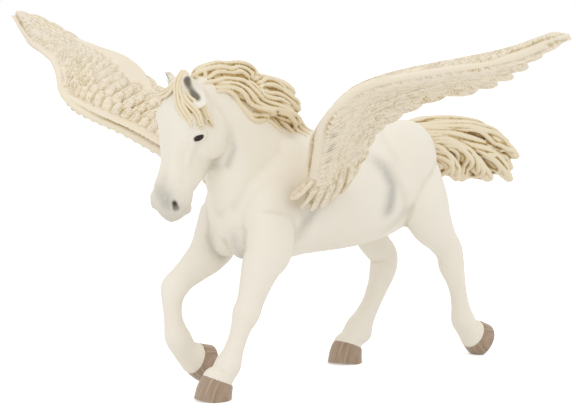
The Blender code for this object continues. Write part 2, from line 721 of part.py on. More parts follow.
def forelock():
    """Hair that falls between the ears and parts over the forehead, most of it to the left."""
    down, face, left = head_axes()
    fall = FORELOCK_LENGTH / 17.0
    locks = (  # places down, out and left; width
        (((-0.06, 0.4, 1.6), (0.06, 4.2, 4.6), (0.19, 4.9, 6.3), (0.315, 2.6, 7.5)), 4.4),
        (((-0.05, -0.6, 2.4), (0.07, 1.4, 6.3), (0.19, 1.2, 7.9), (0.31, -1.2, 8.4)), 4.4),
        (((-0.03, -1.4, 3.0), (0.08, -1.4, 6.6), (0.19, -2.4, 8.1), (0.30, -5.2, 8.6)), 3.8),
        (((-0.02, 0.8, 0.4), (0.065, 4.6, -2.0), (0.09, 4.6, -4.6), (0.15, 3.4, -6.9)), 3.2),
    )
    found = []
    for places, wide in locks:
        path = [head_point(share * fall, out, side) for share, out, side in places]
        up = face + left * math.copysign(0.6, places[-1][2])
        found.append(lock("forelock", path, wide, wide * 0.62, up, twist=15, flutes=5, end=0.4))
    return found


def tail_core(dock):
    """The mass inside the tail, which closes the gaps between its locks."""
    profile = (  # shares of the tail's length behind, above and below the dock, and its half height
        (0.02, -0.02, 0.07),
        (0.14, -0.05, 0.11),
        (0.32, -0.13, 0.18),
        (0.52, -0.18, 0.18),
        (0.72, -0.21, 0.15),
        (0.85, -0.25, 0.10),
        (0.90, -0.27, 0.05),
    )
    rows = [
        (*(dock + np.array([back, 0.0, up]) * TAIL_LENGTH), TAIL_LOCK_WIDTH * 0.3, *[half * TAIL_LENGTH] * 2)
        for back, up, half in profile
    ]
    return loft("tail_core", rows, up=(0, 0, 1))


def tail():
    """A full tail carried out behind, in locks that fan and bend down towards their ends."""
    dock = np.array([trunk_x(0.955), 0.0, trunk_z(0.895)])
    locks = (  # length, lift, drop, side, width
        (0.97, 3.6, 0.48, 0.0, 1.05),
        (0.96, 3.0, 0.60, -0.8, 1.05),
        (0.96, 3.0, 0.64, 0.8, 1.05),
        (0.96, 2.0, 0.82, -0.3, 1.10),
        (0.93, 1.6, 0.90, 0.5, 1.10),
        (0.88, 0.6, 1.00, -0.9, 1.05),
        (0.85, 0.4, 0.98, 0.9, 1.05),
        (0.78, -0.6, 1.00, 0.0, 1.05),
        (0.66, -2.0, 0.96, -0.8, 1.05),
        (0.64, -2.0, 0.96, 0.8, 1.05),
        (0.50, -3.2, 0.96, 0.0, 1.00),
        (0.37, -3.0, 0.92, -0.6, 0.95),
        (0.35, -3.0, 0.88, 0.6, 0.95),
        (0.26, -2.4, 0.66, 0.0, 0.90),
    )
    scale = TAIL_LENGTH / 50.0
    found = [tail_core(dock)]
    for long, lift, drop, side, wide in locks:
        sizes = (TAIL_LENGTH * long, lift * scale, TAIL_DROP * drop, side, 6.0 * scale, 0.5 * scale)
        path = blown_path(dock, *sizes)
        path.insert(0, dock + np.array([-0.08, 0.0, -0.05]) * TAIL_LENGTH)
        turn = 60 if side < 0 else -60
        width = TAIL_LOCK_WIDTH * wide
        found.append(lock("tail_lock", path, width, width * 0.68, (0.8, 0, 1), turn, end=0.45))
    return found


# Fusing


def fused(name, pieces, voxel, rounds):
    """One skin over all the pieces, smoothed where they meet. The pieces are used up."""
    shape = bmesh.new()
    for piece in pieces:
        shape.from_mesh(piece.data)
        if piece.matrix_world != piece.matrix_world.Identity(4):
            count = len(piece.data.vertices)
            shape.verts.ensure_lookup_table()
            bmesh.ops.transform(shape, matrix=piece.matrix_world, verts=shape.verts[-count:])
        bpy.data.objects.remove(piece)
    mesh = bpy.data.meshes.new(name)
    shape.to_mesh(mesh)
    shape.free()
    skin = bpy.data.objects.new(name, mesh)
    bpy.context.scene.collection.objects.link(skin)
    remesh = skin.modifiers.new("skin", "REMESH")
    remesh.mode = "VOXEL"
    remesh.voxel_size = voxel * MM
    smooth = skin.modifiers.new("blend", "SMOOTH")
    smooth.factor = 0.5
    smooth.iterations = rounds
    return apply_all(skin)


def apply_all(solid):
    """The object with its modifiers made part of its mesh."""
    bpy.context.view_layer.update()
    graph = bpy.context.evaluated_depsgraph_get()
    mesh = bpy.data.meshes.new_from_object(solid.evaluated_get(graph))
    solid.modifiers.clear()
    solid.data = mesh
    return solid


def outer_skin(solid):
    """The solid without the small closed pockets that locks and feathers shut in between them."""
    shape = bmesh.new()
    shape.from_mesh(solid.data)
    left, largest = set(shape.verts), set()
    while left:
        found, edge = set(), {left.pop()}
        while edge:
            found |= edge
            edge = {other for v in edge for e in v.link_edges for other in e.verts} - found
        left -= found
        largest = max(largest, found, key=len)
    bmesh.ops.delete(shape, geom=[v for v in shape.verts if v not in largest], context="VERTS")
    shape.to_mesh(solid.data)
    shape.free()
    return solid


def thinned(solid, triangles):
    """The same skin with fewer triangles, which stay where it curves most."""
    count = sum(len(face.vertices) - 2 for face in solid.data.polygons)
    thin = solid.modifiers.new("thin", "DECIMATE")
    thin.ratio = min(1.0, triangles / count)
    thin.use_collapse_triangulate = True
    return apply_all(solid)


def cut_at_floor(solid):
    """The soles cut flat and closed where they pass the floor."""
    shape = bmesh.new()
    shape.from_mesh(solid.data)
    everything = shape.verts[:] + shape.edges[:] + shape.faces[:]
    cut = bmesh.ops.bisect_plane(
        shape, geom=everything, plane_co=(0, 0, 0), plane_no=(0, 0, 1), dist=1e-7, clear_inner=True
    )
    rim = [edge for edge in cut["geom_cut"] if isinstance(edge, bmesh.types.BMEdge)]
    bmesh.ops.holes_fill(shape, edges=rim)
    bmesh.ops.triangulate(shape, faces=shape.faces[:])
    shape.to_mesh(solid.data)
    shape.free()
    return solid


def hollowed(solid, cutters):
    """The solid without what the cutters take. The cutters are used up."""
    for cutter in cutters:
        cut = solid.modifiers.new(cutter.name, "BOOLEAN")
        cut.operation = "DIFFERENCE"
        cut.solver = "EXACT"
        cut.object = cutter
    solid = apply_all(solid)
    for cutter in cutters:
        bpy.data.objects.remove(cutter)
    return solid


def centred(solid):
    """The solid moved so that the middle of its bounding box stands over the origin."""
    corners = np.array([tuple(corner) for corner in solid.bound_box])
    middle = (corners.min(axis=0) + corners.max(axis=0)) / 2
    for vertex in solid.data.vertices:
        vertex.co.x -= middle[0]
        vertex.co.y -= middle[1]
    solid.data.update()
    return solid


def main():
    for old in list(bpy.data.objects):
        bpy.data.objects.remove(old)
    torso = fused("torso", [trunk(), neck(), *muscles()], BODY_VOXEL, 12)
    body = fused("body", [torso, *head(), *legs()], BODY_VOXEL, 4)
    body = hollowed(body, nostrils())
    details = [*ears(), *mane(), *forelock(), *tail()]
    details += wing(LEFT) + wing(RIGHT)
    figurine = fused("pegasus_figurine", [body, *details], DETAIL_VOXEL, 1)
    figurine = centred(cut_at_floor(thinned(outer_skin(figurine), SKIN_TRIANGLES)))
    figurine.data.shade_smooth()
    own = bpy.data.collections.new(figurine.name)
    bpy.context.scene.collection.children.link(own)
    own.objects.link(figurine)
    bpy.context.scene.collection.objects.unlink(figurine)
    paint = bpy.data.materials.new("painted_vinyl")
    paint.use_nodes = True
    finish = paint.node_tree.nodes["Principled BSDF"]
    finish.inputs["Base Color"].default_value = BONE_WHITE
    finish.inputs["Roughness"].default_value = 0.55
    figurine.data.materials.clear()
    figurine.data.materials.append(paint)


main()
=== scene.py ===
"""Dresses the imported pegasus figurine: skin, hooves, eyes, hair, wings and a plain stage.

Shapes are worked out in millimetres in the figurine's own frame: the horse faces -X, its left side is
-Y, X = 0 is at its withers and the floor is Z = 0. placed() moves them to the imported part's frame.
"""

import contextlib
import functools
import math

import bmesh
import bpy
import numpy as np
from mathutils import Euler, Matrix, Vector
from mathutils.bvhtree import BVHTree


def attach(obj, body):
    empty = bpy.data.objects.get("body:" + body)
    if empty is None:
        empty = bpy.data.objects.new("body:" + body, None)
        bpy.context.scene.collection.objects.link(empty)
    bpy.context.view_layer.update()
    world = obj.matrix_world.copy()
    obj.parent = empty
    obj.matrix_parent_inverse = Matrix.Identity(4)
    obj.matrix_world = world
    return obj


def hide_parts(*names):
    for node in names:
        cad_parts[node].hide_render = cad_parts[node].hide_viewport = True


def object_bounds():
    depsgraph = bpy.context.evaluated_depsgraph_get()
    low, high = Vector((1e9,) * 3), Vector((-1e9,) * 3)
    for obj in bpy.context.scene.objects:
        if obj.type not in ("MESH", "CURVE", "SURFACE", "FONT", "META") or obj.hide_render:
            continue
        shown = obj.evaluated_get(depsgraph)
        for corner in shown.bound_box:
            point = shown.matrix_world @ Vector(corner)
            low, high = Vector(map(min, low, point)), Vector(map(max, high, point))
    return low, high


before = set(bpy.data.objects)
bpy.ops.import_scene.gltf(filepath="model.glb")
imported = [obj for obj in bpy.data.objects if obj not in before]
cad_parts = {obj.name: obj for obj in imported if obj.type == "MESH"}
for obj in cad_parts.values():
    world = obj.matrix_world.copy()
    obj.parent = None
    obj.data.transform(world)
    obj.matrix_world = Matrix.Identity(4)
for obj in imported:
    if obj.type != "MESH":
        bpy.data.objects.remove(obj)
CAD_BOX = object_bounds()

bl_info = {
    "name": "Pegasus figurine",
    "version": (1, 0, 0),
    "blender": (4, 5, 0),
    "location": "3D View > Sidebar > Pegasus",
    "description": "Builds the looks of a moulded and painted pegasus figurine over its packed part",
    "category": "Object",
}

NODE = "pegasus_figurine"
MM = 0.001
PATTERN_SCALE = 100.0  # millimetres of a piece's pattern in one unit of its UV map
WITHERS = (24.58, 0.0, 0.0)  # taken off X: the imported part's origin, seen from the withers
LEFT, RIGHT = -1, 1

# Trunk
CHEST_CLEARANCE = 41.5  # floor to breastbone
TRUNK_DEPTH = 42.5  # breastbone to withers
TRUNK_LENGTH = 91.5  # front of the chest to the buttocks
TRUNK_WIDTH = 34.0
CHEST_REACH = 31.0  # front of the chest, ahead of the withers

# Neck and head
NECK_RISE = 16.5  # poll above the withers
NECK_REACH = 44.0  # poll ahead of the withers
NECK_BASE_DEPTH = 42.0
THROAT_DEPTH = 17.0
HEAD_LENGTH = 43.8
HEAD_WIDTH = 17.0
HEAD_SCALE = HEAD_WIDTH / 17.0  # the head's own sizes are given for a head 17 mm wide
HEAD_LEAN = 5.5  # degrees that the face leans out from upright
HEAD_TURN = 3.0  # degrees that the head is turned to the left
EAR_LENGTH = 8.6
EAR_WIDTH = 5.6
EAR_VOXEL = 0.26
EAR_HOLLOW = 0.75  # how fast the ear's dark hollow fades towards its rim
EYE_SIZE = 3.4

# Legs
HOOF_LENGTH = 12.5
HOOF_WIDTH = 11.2
HOOF_HEIGHT = 6.0
PASTERN_WIDTH = 7.8
FETLOCK_WIDTH = 8.2
CANNON_WIDTH = 5.9
KNEE_WIDTH = 8.8
HOCK_WIDTH = 9.0
FOREARM_WIDTH = 10.4
GASKIN_WIDTH = 10.6
THIGH_WIDTH = 15.0
FORE_STANCE = 24.5  # between the two elbows
HIND_STANCE = 24.5  # between the two stifles
PLANTED_FORE_REACH = 20.0  # left fore hoof ahead of its elbow
RAISED_KNEE_REACH = 18.8  # right knee ahead of its elbow
PLANTED_HIND_REACH = 13.7  # right hind hoof ahead of its stifle
TRAILING_HIND_REACH = 27.5  # left hind hoof behind its stifle

# Wings
WING_ARM = (36.5, 49.6, 28.8)  # ahead, out and up, from the root to the wrist
WING_HAND = (29.0, 69.5, 28.6)  # back, out and up, from the wrist to the tip
LEFT_TIP_OFFSET = (-10.6, 0.0, -3.2)  # the left wing's tip, from the mirrored right one
LEFT_ARM_OFFSET = (3.0, 0.0, 0.0)  # the middle of the left wing's arm, from the mirrored right one
LEFT_WRIST_OFFSET = (-1.7, 0.0, 1.6)  # the bend of the left wing, beyond its wrist
LEFT_BEND = (3.45, 0.42)  # where that bend is, in spans from the root, and how long
LEFT_FEATHER_TRIM = 0.09  # how much shorter the left flight feathers are, as a share of the chord
WING_ROWS = 8  # fine rows in each span of a wing
WING_SPANS = 7
WING_CHORD = 44.3
WING_THICKNESS = 5.0
FEATHER_THICKNESS = 1.4
SECONDARIES = 10
PRIMARIES = 5
ROOT_FEATHERS = 6

# Hair
TAIL_LENGTH = 50.0
TAIL_DROP = 20.0
TAIL_LOCK_WIDTH = 8.6
MANE_LOCK_LENGTH = 30.0
MANE_LOCK_WIDTH = 7.0
FORELOCK_LENGTH = 17.0
FORELOCK_STRAND = 0.72  # its strands' width, as a share of the mane's
TAIL_STRAND = 1.15
RIGHT_MANE_SLIP = (1.2, -0.4)  # the strands on the right side, from the left ones
RIGHT_TAIL_SLIP = (-0.9, -0.5)

SOLE_SINK = 0.35  # how far the planted soles reach below the floor before they are cut flat

# Stage, in metres
CAMERA_AIM = (-0.02658, 0.0, 0.057)
LAMP_AIM = (-0.02, 0.0, 0.06)
SENSOR_WIDTH = 36.0  # in millimetres


# Shells: closed tubes and balls, as points in millimetres and their faces


def rows_through(stations, per_span):
    """A smooth curve through rows of numbers, which passes through each row."""
    rows = np.array(stations, float)
    padded = np.vstack([2 * rows[0] - rows[1], rows, 2 * rows[-1] - rows[-2]])
    found = []
    for i in range(len(rows) - 1):
        a, b, c, d = padded[i : i + 4]
        for step in range(per_span):
            t = step / per_span
            bend, turn = 2 * a - 5 * b + 4 * c - d, 3 * b - a - 3 * c + d
            found.append(0.5 * (2 * b + (c - a) * t + bend * t**2 + turn * t**3))
    found.append(rows[-1])
    return np.array(found)


def along_curve(curve, share):
    """The row at a share of a fine curve's length in rows."""
    row = share * (len(curve) - 1)
    return np.array([np.interp(row, range(len(curve)), curve[:, k]) for k in range(curve.shape[1])])


def unit(vectors):
    return vectors / np.maximum(np.linalg.norm(vectors, axis=-1, keepdims=True), 1e-9)


def frame_along(curve, up):
    """The directions up and across a curve, at each of its rows."""
    along = unit(np.gradient(curve, axis=0))
    reference = np.array(up, float)
    upward = unit(reference - (along @ reference)[:, None] * along)
    return upward, np.cross(upward, along)


def length_along(curve):
    """How far each row of a curve lies from its start."""
    return np.concatenate([[0.0], np.cumsum(np.linalg.norm(np.diff(curve, axis=0), axis=1))])


def grid_faces(rings, sides):
    """The faces of a tube of rings, with a cap at each end."""
    faces = [
        (r * sides + j, r * sides + (j + 1) % sides, (r + 1) * sides + (j + 1) % sides, (r + 1) * sides + j)
        for r in range(rings - 1)
        for j in range(sides)
    ]
    faces.append(tuple(range(sides - 1, -1, -1)))
    faces.append(tuple((rings - 1) * sides + j for j in range(sides)))
    return faces


def loft(stations, up, sides=16, per_span=4):
    """A closed tube through stations of (x, y, z, half width, half height above, half height below) and,
    where given, how round the section is: 1 is an ellipse, and less is squarer. It has twice the sides
    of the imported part's, and keeps how far each point lies along and across it, for its pattern."""
    sides = 2 * sides
    rows = rows_through(stations, per_span)
    centres = rows[:, :3]
    square = rows[:, 6] if rows.shape[1] > 6 else np.ones(len(rows))
    upward, across = frame_along(centres, up)
    angle = 2 * np.pi * np.arange(sides) / sides
    c, s = np.cos(angle)[None, :], np.sin(angle)[None, :]
    c = np.sign(c) * np.abs(c) ** square[:, None]
    s = np.sign(s) * np.abs(s) ** square[:, None]
    height = np.where(s > 0, rows[:, 4:5], rows[:, 5:6])
    points = (
        centres[:, None, :]
        + across[:, None, :] * (rows[:, 3:4] * c)[:, :, None]
        + upward[:, None, :] * (height * s)[:, :, None]
    )
    length = np.repeat(length_along(centres)[:, None], sides, 1)
    pattern = np.stack([length, rows[:, 3:4] * c], axis=2)
    return points.reshape(-1, 3), grid_faces(len(rows), sides), pattern.reshape(-1, 2)


def ball(centre, half_sizes, turn=(0.0, 0.0, 0.0)):
    """A squashed ball. turn is in degrees about X, Y and Z."""
    sides, rings = 48, 24
    tilt = np.pi * (np.arange(rings) + 0.5) / rings
    angle = 2 * np.pi * np.arange(sides) / sides
    x = np.sin(tilt)[:, None] * np.cos(angle)[None, :]
    y = np.sin(tilt)[:, None] * np.sin(angle)[None, :]
    z = np.repeat(-np.cos(tilt)[:, None], sides, 1)
    points = np.stack([x, y, z], axis=2).reshape(-1, 3) * np.array(half_sizes, float)
    spin = np.array(Euler([math.radians(a) for a in turn]).to_matrix())
    return points @ spin.T + np.array(centre, float), grid_faces(rings, sides), points[:, :2]


def read(items, name, width, kind=float):
    """One property of all of a mesh's points, edges or corners, as rows of width numbers."""
    found = np.empty(len(items) * width, kind)
    items.foreach_get(name, found)
    return found.reshape(-1, width)


@contextlib.contextmanager
def edited(mesh):
    """The mesh's points, edges and faces, open for a change."""
    shape = bmesh.new()
    shape.from_mesh(mesh)
    yield shape
    shape.to_mesh(mesh)
    shape.free()


def placed(name, shells):
    """A mesh object of the shells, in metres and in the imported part's frame, with their pattern as UVs."""
    points, faces, pattern, start = [], [], [], 0
    for shell_points, shell_faces, shell_pattern in shells:
        points.append(shell_points)
        pattern.append(shell_pattern)
        faces += [tuple(start + i for i in face) for face in shell_faces]
        start += len(shell_points)
    points = (np.vstack(points) - np.array(WITHERS)) * MM
    mesh = bpy.data.meshes.new(name)
    mesh.from_pydata(points.tolist(), [], faces)
    flow = mesh.uv_layers.new(name="flow")
    corner = read(mesh.loops, "vertex_index", 1, int).ravel()
    flow.data.foreach_set("uv", (np.vstack(pattern)[corner] / PATTERN_SCALE).ravel())
    with edited(mesh) as shape:
        bmesh.ops.recalc_face_normals(shape, faces=shape.faces)
    piece = bpy.data.objects.new(name, mesh)
    bpy.context.scene.collection.objects.link(piece)
    return piece


def apply_all(piece):
    """The piece with its modifiers made part of its mesh."""
    bpy.context.view_layer.update()
    graph = bpy.context.evaluated_depsgraph_get()
    mesh = bpy.data.meshes.new_from_object(piece.evaluated_get(graph))
    piece.modifiers.clear()
    piece.data = mesh
    return piece


def joined(piece, other):
    """The piece with the other's mesh added to its own. The other is used up."""
    with edited(piece.data) as shape:
        shape.from_mesh(other.data)
    bpy.data.objects.remove(other)
    return piece


def fused(piece, voxel, rounds):
    """The piece as one skin, with the joints between its shells smoothed."""
    remesh = piece.modifiers.new("skin", "REMESH")
    remesh.mode = "VOXEL"
    remesh.voxel_size = voxel * MM
    smooth = piece.modifiers.new("blend", "SMOOTH")
    smooth.factor = 0.5
    smooth.iterations = rounds
    return apply_all(piece)


def outer_skin(piece):
    """The piece without the small closed pockets that its shells shut in between them."""
    with edited(piece.data) as shape:
        left, largest = set(shape.verts), set()
        while left:
            found, edge = set(), {left.pop()}
            while edge:
                found |= edge
                edge = {other for v in edge for e in v.link_edges for other in e.verts} - found
            left -= found
            largest = max(largest, found, key=len)
        bmesh.ops.delete(shape, geom=[v for v in shape.verts if v not in largest], context="VERTS")
    return piece


def finer_where(piece, chosen):
    """Cuts each face in four where chosen(points) says so."""
    picked = chosen(points_of(piece.data))
    axes = {"use_axis_x": True, "use_axis_y": True, "use_axis_z": True}
    with edited(piece.data) as shape:
        edges = [edge for edge in shape.edges if all(picked[end.index] for end in edge.verts)]
        cut = bmesh.ops.subdivide_edges(shape, edges=edges, cuts=1, use_grid_fill=True)
        new = [part for part in cut["geom_inner"] if isinstance(part, bmesh.types.BMVert)]
        for _ in range(2):
            bmesh.ops.smooth_vert(shape, verts=new, factor=0.5, **axes)
    return piece


def flow_from(piece, source):
    """Gives the fused piece the pattern of the shells that it was fused from. The source is used up."""
    mesh = source.data
    mesh.calc_loop_triangles()
    flow = read(mesh.uv_layers["flow"].data, "uv", 2)
    corners = [vertex.co.copy() for vertex in mesh.vertices]
    triangles = [tuple(triangle.vertices) for triangle in mesh.loop_triangles]
    loops = [tuple(triangle.loops) for triangle in mesh.loop_triangles]
    tree = BVHTree.FromPolygons(corners, triangles)
    found = np.empty((len(piece.data.vertices), 2))
    for vertex in piece.data.vertices:
        place, _, index, _ = tree.find_nearest(vertex.co)
        away = [(place - corners[corner]).length + 1e-7 for corner in triangles[index]]
        weight = 1 / np.array(away)
        found[vertex.index] = weight @ flow[list(loops[index])] / weight.sum()
    corner = read(piece.data.loops, "vertex_index", 1, int).ravel()
    layer = piece.data.uv_layers.get("flow") or piece.data.uv_layers.new(name="flow")
    layer.data.foreach_set("uv", found[corner].ravel())
    bpy.data.objects.remove(source)
    return piece


def points_of(mesh):
    """The mesh's points in millimetres, in the figurine's own frame."""
    return read(mesh.vertices, "co", 3) / MM + np.array(WITHERS)


def set_points(mesh, points):
    mesh.vertices.foreach_set("co", ((points - np.array(WITHERS)) * MM).ravel())
    mesh.update()


def normals_of(mesh):
    return read(mesh.vertex_normals, "vector", 3)


def set_layer(mesh, name, values):
    """A value for each point, which the materials read by name."""
    layer = mesh.attributes.get(name) or mesh.attributes.new(name, "FLOAT", "POINT")
    layer.data.foreach_set("value", np.clip(values, 0, 1).astype(np.float32))


def neighbours_mean(values, edges, count):
    """The mean of each point's neighbours."""
    degree = np.bincount(edges.ravel(), minlength=count)
    total = np.stack(
        [
            np.bincount(edges[:, 0], values[edges[:, 1], k], count)
            + np.bincount(edges[:, 1], values[edges[:, 0], k], count)
            for k in range(values.shape[1])
        ],
        axis=1,
    )
    return total / np.maximum(degree, 1)[:, None]


def groove_layer(piece, rounds, depth):
    """Marks how far each point lies below the skin around it, 1 at depth in millimetres."""
    mesh = piece.data
    edges = read(mesh.edges, "vertices", 2, int)
    points = points_of(mesh)
    smooth = points
    for _ in range(rounds):
        smooth = 0.5 * smooth + 0.5 * neighbours_mean(smooth, edges, len(points))
    below = ((smooth - points) * normals_of(mesh)).sum(axis=1)
    set_layer(mesh, "groove", 0.5 + 0.5 * below / depth)


def distance_to_line(points, line):
    """How far each point lies from a line through the given places, or from the only place."""
    line = np.array(line, float)
    if len(line) == 1:
        return np.linalg.norm(points - line[0], axis=1)
    best = np.full(len(points), 1e9)
    for a, b in zip(line[:-1], line[1:]):
        step = b - a
        share = np.clip(((points - a) @ step) / max(step @ step, 1e-9), 0, 1)
        best = np.minimum(best, np.linalg.norm(points - a - share[:, None] * step, axis=1))
    return best


def carved(piece, moves):
    """The skin raised (+) or lowered (-) near lines: each move is (line, width, height) in millimetres."""
    mesh = piece.data
    for line, width, height in moves:
        points = points_of(mesh)
        weight = np.exp(-((distance_to_line(points, rows_through(line, 5)) / width) ** 2))
        set_points(mesh, points + normals_of(mesh) * (weight * height)[:, None])
    return piece


def lines_layer(piece, name, lines):
    """Marks the skin near lines: each is (places, width, strength), with a soft edge."""
    points = points_of(piece.data)
    values = np.zeros(len(points))
    for places, width, strength in lines:
        near = np.exp(-((distance_to_line(points, places) / width) ** 2))
        values = np.maximum(values, strength * near)
    set_layer(piece.data, name, values)


# Places that the pieces share


def trunk_x(share):
    """X at a share of the trunk's length, from the chest to the buttocks."""
    return TRUNK_LENGTH * share - CHEST_REACH


def trunk_z(share):
    """Z at a share of the trunk's depth, from the breastbone to the withers."""
    return CHEST_CLEARANCE + TRUNK_DEPTH * share


ELBOW_X = trunk_x(0.10)
ELBOW_Z = trunk_z(0.11)
STIFLE_Z = trunk_z(0.20)
POLL = np.array([-NECK_REACH, -1.0, trunk_z(1.0) + NECK_RISE])


def trunk():
    """Chest, barrel and croup."""
    profile = (  # share of the length, top and bottom as shares of the depth, share of the width
        (0.00, 0.50, 0.26, 0.12),
        (0.03, 0.64, 0.13, 0.28),
        (0.09, 0.80, 0.02, 0.41),
        (0.19, 0.94, -0.03, 0.48),
        (0.32, 1.00, -0.01, 0.48),
        (0.44, 0.95, 0.00, 0.50),
        (0.58, 0.93, 0.01, 0.51),
        (0.71, 0.97, 0.05, 0.50),
        (0.81, 1.01, 0.14, 0.49),
        (0.90, 0.96, 0.27, 0.43),
        (0.965, 0.84, 0.42, 0.29),
        (1.00, 0.70, 0.56, 0.12),
    )
    stations = []
    for along, top, bottom, width in profile:
        height = trunk_z(top) - trunk_z(bottom)
        middle = trunk_z(bottom) + 0.48 * height
        row = (trunk_x(along), 0.0, middle, width * TRUNK_WIDTH, 0.52 * height, 0.48 * height, 0.93)
        stations.append(row)
    return loft(stations, up=(0, 0, 1), sides=32)


def muscles():
    """Shoulders, breast and haunches, which show as soft masses under the skin."""
    half = TRUNK_WIDTH / 2
    masses = (  # along and up the trunk, share of the half width, half sizes over the depth, tilt
        (0.150, 0.40, 0.60, (0.25, 0.15, 0.35), 24),
        (0.245, 0.66, 0.46, (0.19, 0.145, 0.30), -24),
        (0.075, 0.22, 0.26, (0.15, 0.127, 0.20), 12),
        (0.80, 0.66, 0.52, (0.34, 0.20, 0.353), 20),
        (0.895, 0.54, 0.44, (0.16, 0.17, 0.294), -10),
    )
    found = []
    for side in (LEFT, RIGHT):
        for along, up, out, shares, tilt in masses:
            sizes = [share * TRUNK_DEPTH for share in shares]
            place = (trunk_x(along), side * half * out, trunk_z(up))
            found.append(ball(place, sizes, (0, tilt, 0)))
    return found


def crest(ahead, rise):
    """X and Z of a place between the withers and the poll, from its shares of the neck's reach and rise."""
    return -NECK_REACH * ahead, trunk_z(1.0) + NECK_RISE * rise


def neck():
    """From deep in the chest up to the poll, arched along its crest."""
    base, throat = NECK_BASE_DEPTH, THROAT_DEPTH
    upper_x, upper_z = crest(0.784, 0.424)
    nape_x, nape_z = crest(0.909, 0.697)
    stations = (
        (trunk_x(0.28), 0.0, trunk_z(0.46), base * 0.298, base * 0.46, base * 0.42),
        (trunk_x(0.165), 0.0, trunk_z(0.70), base * 0.281, base * 0.42, base * 0.485),
        (trunk_x(0.075), -0.2, trunk_z(0.94), base * 0.229, base * 0.32, base * 0.375),
        (upper_x, -0.5, upper_z, throat * 0.46, throat * 0.64, throat * 0.64),
        (nape_x, POLL[1], nape_z, throat * 0.39, throat * 0.46, throat * 0.50),
        (POLL[0], POLL[1], POLL[2] - throat * 0.15, throat * 0.31, throat * 0.27, throat * 0.32),
    )
    return loft(stations, up=(1, 0, 0.7), sides=28)


# Head: its own axes run down the face, out of the forehead and out of its left cheek


def head_axes():
    lean, turn = math.radians(HEAD_LEAN), math.radians(HEAD_TURN)
    out = np.array([-math.cos(turn), -math.sin(turn), 0.0])
    down = unit(out * math.sin(lean) - np.array([0, 0, math.cos(lean)]))
    face = unit(out - (out @ down) * down)
    left = np.cross(face, down)
    return down, face, left


def head_point(down_share, face_out, left_out):
    """A point of the head, from the share of its length below the poll and how far out and left it lies."""
    down, face, left = head_axes()
    start = POLL + np.array([-2.6, 0.0, 0.2]) * HEAD_SCALE
    return start + down * HEAD_LENGTH * down_share + (face * face_out + left * left_out) * HEAD_SCALE


def head_ball(place, half_sizes):
    """A soft mass of the head. Its sizes run to the face, to the side and down the face."""
    sizes = [size * HEAD_SCALE for size in half_sizes]
    return ball(head_point(*place), sizes, (0, HEAD_LEAN, HEAD_TURN))


def skull():
    """The wedge from the poll to the lips, with a flat face line and a deep jaw."""
    profile = (  # share of the length, face line, half width, half depth to the face and the jaw, roundness
        (0.00, -2.0, 4.4, 4.2, 5.0, 1.00),
        (0.08, -1.5, 6.4, 5.8, 8.0, 0.95),
        (0.20, -1.2, 7.8, 6.6, 11.5, 0.90),
        (0.31, -0.8, 8.0, 6.8, 13.5, 0.86),
        (0.42, -0.5, 6.9, 6.2, 14.4, 0.84),
        (0.52, -0.2, 5.5, 5.4, 14.0, 0.84),
        (0.62, 0.1, 4.9, 5.1, 12.0, 0.82),
        (0.71, 0.7, 5.5, 5.2, 8.4, 0.82),
        (0.79, 1.2, 6.2, 5.7, 6.2, 0.84),
        (0.87, 1.2, 6.2, 5.5, 5.4, 0.86),
        (0.94, 0.8, 5.0, 4.3, 4.6, 0.90),
        (0.985, 0.3, 3.5, 2.7, 3.5, 0.95),
        (1.00, -0.1, 1.9, 1.3, 1.9, 1.00),
    )
    stations = [
        (*head_point(share, line, 0.0), *[size * HEAD_SCALE for size in sizes], roundness)
        for share, line, *sizes, roundness in profile
    ]
    return loft(stations, up=head_axes()[1], sides=28)


def head():
    """Skull and muzzle, with the round cheeks, the brows, the eyes and the flared nostrils."""
    pieces = [skull()]
    for side in (LEFT, RIGHT):
        pieces += [
            head_ball((0.345, -8.4, -side * 4.7), (8.6, 3.4, 9.6)),
            head_ball((0.27, 1.6, -side * 6.2), (3.0, 2.1, 3.6)),
            head_ball((0.385, -1.9, -side * 7.0), (EYE_SIZE * 0.68, 1.6, EYE_SIZE * 0.56)),
            head_ball((0.865, 3.9, -side * 4.5), (2.5, 2.2, 3.4)),
            head_ball((0.91, -1.9, -side * 1.8), (2.8, 2.6, 2.6)),
        ]
    return pieces


# Legs: one table of sections, and one row of places for each leg


